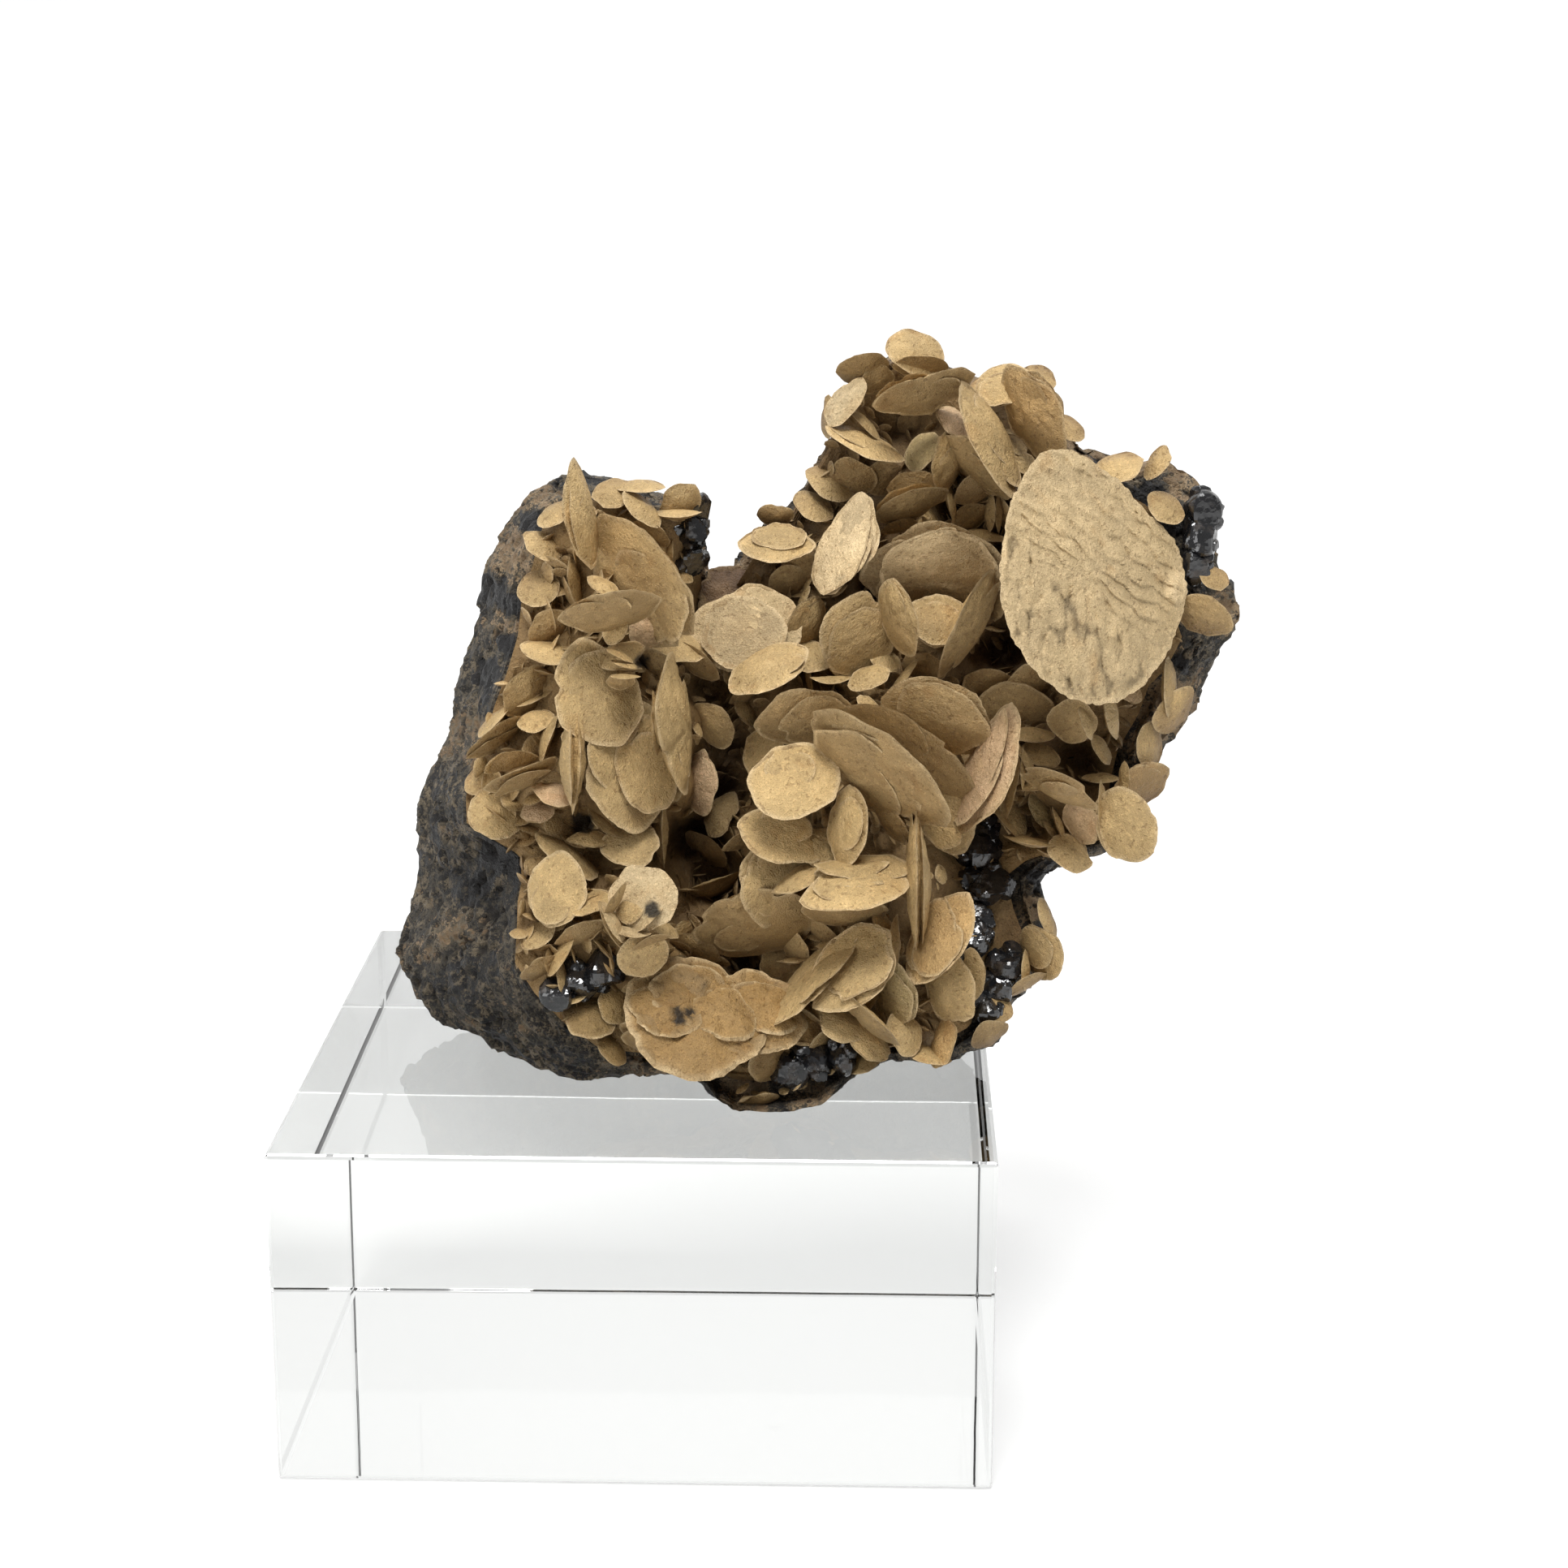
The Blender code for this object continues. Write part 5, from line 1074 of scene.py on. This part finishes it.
def rockMaterial():
    graph = Graph("sulphide_rock")
    where = graph.attribute("grown", "Vector")
    tan, black, poreShade = graph.channels(graph.attribute("marks", "Color"))
    blotch = graph.noise(where, 0.0022, 5, 0.62)
    grain = graph.noise(where, 0.00095, 4, 0.7)
    fleck = graph.noise(where, 0.00033, 2, 0.6)
    cell = graph.cells(where, 0.0013)
    shine = graph.cells(where, 0.0006)
    mottle = grain * 0.62 + fleck * 0.38
    grey = graph.mix(shade(0.060, 0.050, 0.036), shade(0.165, 0.130, 0.084), blotch.between(0.42, 0.60))
    grey = graph.mix(grey, shade(0.013, 0.012, 0.011), mottle.between(0.46, 0.545) * 0.92)
    tanTone = graph.mix(shade(0.30, 0.215, 0.125), shade(0.17, 0.112, 0.06), blotch.between(0.4, 0.62))
    tanTone = graph.mix(tanTone, shade(0.13, 0.08, 0.045), grain.between(0.52, 0.7) * 0.6)
    tanShare = tan * 0.85 + (grain - 0.5) * 2.4 + (fleck - 0.5) * 1.0 + (blotch - 0.5) * 0.9
    tanShare = tanShare.between(0.40, 0.62)
    body = graph.mix(grey, tanTone, tanShare)
    blackShare = (black + (grain - 0.5) * 1.5 + (blotch - 0.5) * 0.8).between(0.40, 0.66)
    body = graph.mix(body, shade(0.013, 0.012, 0.012), blackShare)
    # painted shade: near-black dots in small pits that the bump dips into
    shadedPits = cell.between(0.30, 0.16, 0.0, 1.0) * blotch.between(0.44, 0.56)
    body = graph.mix(body, shade(0.014, 0.012, 0.010), shadedPits * 0.8)
    # painted shade in the pores
    body = graph.mix(body, shade(0.012, 0.009, 0.007), poreShade.between(0.2, 0.8) * 0.82)
    glint = shine.between(0.18, 0.10, 0.0, 1.0) * fleck.between(0.55, 0.68)
    body = graph.mix(body, shade(0.40, 0.37, 0.32), glint * 0.65)
    height = blotch * 0.7 + grain * 0.9 + fleck * 0.35 - shadedPits * 0.5
    return graph.principled({
        "Base Color": body,
        "Roughness": 0.70 - blackShare * 0.16 - glint * 0.3,
        "Metallic": glint * 0.5,
        "Specular IOR Level": 0.4,
        "Normal": graph.bump(height, 0.0008),
    })


rockPiece = buildRock()
rockPiece.data.materials.append(rockMaterial())

# Sphalerite: near-black grains of flat faces. Each row is right, down, size in mm and lift.
sphalerite = {
    "groups": {
        "sphalerite_notch": ((85.2, 65.6, 4.8, -0.5), (85.6, 62.6, 4.0, -0.6), (85.0, 68.6, 4.4, 0.2)),
        "sphalerite_group": (
            (121.0, 105.4, 5.4, 1.2), (121.6, 109.2, 5.8, 0.6), (119.8, 112.6, 5.0, 1.0),
            (119.4, 115.6, 5.0, 0.0), (117.9, 118.6, 4.4, 0.0), (121.4, 102.8, 4.6, 1.4),
        ),
        "sphalerite_low_right": (
            (124.2, 119.0, 4.6, 1.2), (122.8, 121.6, 4.4, 1.0), (121.4, 124.2, 4.2, 0.2),
        ),
        "sphalerite_rim": ((147.6, 66.4, 5.0, 0.4), (148.0, 62.9, 4.8, 0.2), (147.2, 69.6, 4.4, 0.4)),
        "sphalerite_foot": ((100.4, 130.7, 5.0, 1.5), (97.4, 131.8, 4.6, 1.5), (103.6, 130.3, 4.4, 1.4)),
        "sphalerite_left": ((71.4, 120.8, 4.6, 0.8), (74.0, 119.6, 4.8, 0.8), (68.8, 122.2, 4.4, 0.4)),
    },
    "rings": 17,
    "sides": 34,
    "planes": 15,                 # flat faces on a grain
    "planeReach": (0.66, 1.0),    # their distances from its middle, in radii
    "twinShare": (0.4, 0.62),
    "twins": 3,  # smaller grains grown on each listed one
}


def grainShells(rows, seed):
    # a grain's radius towards a direction = the least of distance / (plane normal . direction)
    dice = np.random.default_rng(seed)
    rows = np.array(rows, float)
    n = len(rows)
    rings, sides = sphalerite["rings"], sphalerite["sides"]
    polar = np.linspace(-np.pi / 2, np.pi / 2, rings + 2)
    turn = math.tau * np.arange(sides) / sides
    direction = np.stack([
        np.cos(polar)[:, None] * np.cos(turn), np.cos(polar)[:, None] * np.sin(turn),
        np.sin(polar)[:, None] + 0 * turn,
    ], axis=-1)
    normals = dice.normal(size=(n, sphalerite["planes"], 3))
    normals /= np.linalg.norm(normals, axis=-1, keepdims=True)
    reach = dice.uniform(*sphalerite["planeReach"], (n, sphalerite["planes"]))
    lean = np.einsum("npc,rsc->nprs", normals, direction)
    radius = np.where(lean > 0.05, reach[..., None, None] / np.maximum(lean, 0.05), 9.0).min(axis=1)
    radius = np.minimum(radius, 1.12)
    centre = place(rows[:, 0], rows[:, 1], floorOut(rows[:, 0], rows[:, 1]) + rows[:, 3])
    half = (rows[:, 2] * mm / 2)[:, None, None, None]
    return centre[:, None, None] + radius[..., None] * direction * half


def grainPiece(name, rows, seed, material):
    dice = np.random.default_rng(seed + 50)
    listed = np.array(rows, float)
    twins = np.repeat(listed, sphalerite["twins"], axis=0)
    angle = dice.uniform(0, math.tau, len(twins))
    twins[:, 0] += np.cos(angle) * twins[:, 2] * 0.36
    twins[:, 1] += np.sin(angle) * twins[:, 2] * 0.36
    twins[:, 3] += dice.uniform(-0.6, 0.5, len(twins))
    twins[:, 2] *= dice.uniform(*sphalerite["twinShare"], len(twins))
    points = grainShells(np.concatenate([listed, twins]), seed)
    flat = shellList(points)
    flat[:, 2] = np.maximum(flat[:, 2], blockTop + 0.4 * mm)
    quads, triangles = capsOf(sphalerite["rings"], sphalerite["sides"], len(points))
    piece = newPiece(name, flat, quads, triangles, None, None, 14)
    piece.data.materials.append(material)
    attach(piece, "root")
    return piece


def sphaleriteMaterial():
    graph = Graph("sphalerite_black")
    where = graph.place()
    blotch = graph.noise(where, 0.0016, 3, 0.6)
    step = graph.cells(where, 0.0009)
    body = graph.mix(shade(0.010, 0.010, 0.011), shade(0.05, 0.036, 0.026), blotch.between(0.5, 0.72) * 0.7)
    return graph.principled({
        "Base Color": body,
        "Roughness": 0.10 + blotch.between(0.45, 0.7) * 0.26,
        "Specular IOR Level": 0.9,
        "Normal": graph.bump(step * 0.6 + blotch * 0.8, 0.00022, 0.6),
    })


black = sphaleriteMaterial()
for number, (node, rows) in enumerate(sphalerite["groups"].items()):
    piece = grainPiece(node + "_grains", rows, 300 + number, black)
    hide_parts(node)
print("sphalerite grains built")

for piece in crystalPieces:
    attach(piece, "root")
    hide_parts("siderite_crystals")
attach(rockPiece, "root")
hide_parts("matrix")


# The display block keeps its shape and gets a clear acrylic.
def acrylicMaterial():
    graph = Graph("clear_acrylic")
    where = graph.place()
    wave = graph.noise(where, 0.03, 2, 0.5)
    smear = graph.noise(where, 0.006, 4, 0.6)
    return graph.principled({
        "Base Color": shade(0.86, 0.87, 0.862),
        "Roughness": 0.015 + smear.between(0.6, 0.8) * 0.03,
        "Transmission Weight": 1.0,
        "IOR": 1.49,
        "Normal": graph.bump(wave, 0.00008, 0.3),
    })


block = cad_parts["display_block"]
block.data.materials.clear()
block.data.materials.append(acrylicMaterial())

# Floor, backdrop, lights and camera.
studio = {
    "wide": 30.0,   # metres of floor to each side and in front
    "back": 0.9,    # where the floor starts to sweep up
    "bend": 0.7,    # radius of the sweep
    "high": 2.6,    # top of the backdrop
    "floor": (0.52, 0.52, 0.515),
    "glow": 0.5,  # the paper is lit from below too
    "sky": 0.26,
    # place, what it aims at, its width and its power in watts
    "lamps": {
        "light_top": ((0.02, -0.34, 0.80), (0.018, 0.0, 0.08), 0.34, 5.7),
        "light_left": ((-0.50, -0.62, 0.36), (0.018, 0.0, 0.08), 0.45, 1.5),
        "light_backdrop": ((0.0, 0.45, 1.5), (0.0, 1.25, 0.0), 1.1, 14.0),
    },
}


def buildStudio():
    # a floor that sweeps up into a backdrop: flat, then a quarter circle, then upright
    turn = np.linspace(0, np.pi / 2, 13)
    bend, back = studio["bend"], studio["back"]
    depth = np.concatenate([[-studio["wide"]], back + bend * np.sin(turn), [back + bend]])
    height = np.concatenate([[0.0], bend - bend * np.cos(turn), [studio["high"]]]) - 0.0002
    wide = np.array([-studio["wide"], studio["wide"]])
    points = np.stack([
        np.broadcast_to(wide, (len(depth), 2)), np.broadcast_to(depth[:, None], (len(depth), 2)),
        np.broadcast_to(height[:, None], (len(depth), 2)),
    ], axis=-1).reshape(-1, 3)
    row = np.arange(len(depth) - 1)
    quads = np.stack([row * 2, row * 2 + 1, row * 2 + 3, row * 2 + 2], axis=-1)
    mesh = bpy.data.meshes.new("studio_floor")
    mesh.from_pydata(points.tolist(), [], quads.tolist())
    mesh.shade_smooth()
    floor = bpy.data.objects.new("studio_floor", mesh)
    bpy.context.scene.collection.objects.link(floor)
    graph = Graph("studio_paper")
    tint = graph.noise(graph.place(), 0.4, 2, 0.5)
    base = studio["floor"]
    colour = graph.mix(shade(*base), shade(*(v * 0.985 for v in base)), tint)
    mesh.materials.append(graph.principled({
        "Base Color": colour, "Roughness": 0.85,
        "Emission Color": shade(1, 1, 1), "Emission Strength": studio["glow"],
    }))
    world = bpy.data.worlds.new("studio_world")
    bpy.context.scene.world = world
    world.use_nodes = True
    world.node_tree.nodes["Background"].inputs["Color"].default_value = shade(1, 1, 1)
    world.node_tree.nodes["Background"].inputs["Strength"].default_value = studio["sky"]
    for name, (spot, target, size, power) in studio["lamps"].items():
        lamp = bpy.data.lights.new(name, "AREA")
        lamp.shape = "DISK"
        lamp.size = size
        lamp.energy = power
        made = bpy.data.objects.new(name, lamp)
        made.location = spot
        made.rotation_euler = Matrix(lookAxes(np.array(target) - np.array(spot))).to_euler()
        bpy.context.scene.collection.objects.link(made)


def lookAxes(aim):
    # columns of a rotation whose -Z looks along aim, with Z up as nearly as may be
    back = -aim / np.linalg.norm(aim)
    side = np.cross((0, 0, 1), back)
    side /= np.linalg.norm(side)
    return np.stack([side, np.cross(back, side), back], axis=-1).tolist()


def addCamera():
    optics = bpy.data.cameras.new("camera")
    optics.sensor_width = 36.0
    optics.lens = optics.sensor_width * sight["distance"] / (2 * sight["half"] * mm)
    optics.clip_start = 0.01
    camera = bpy.data.objects.new("camera", optics)
    camera.location = eye
    camera.rotation_euler = Matrix(lookAxes(forward)).to_euler()
    bpy.context.scene.collection.objects.link(camera)
    bpy.context.scene.camera = camera


buildStudio()
addCamera()
bpy.context.scene.view_settings.view_transform = "Standard"
print("studio and camera set")
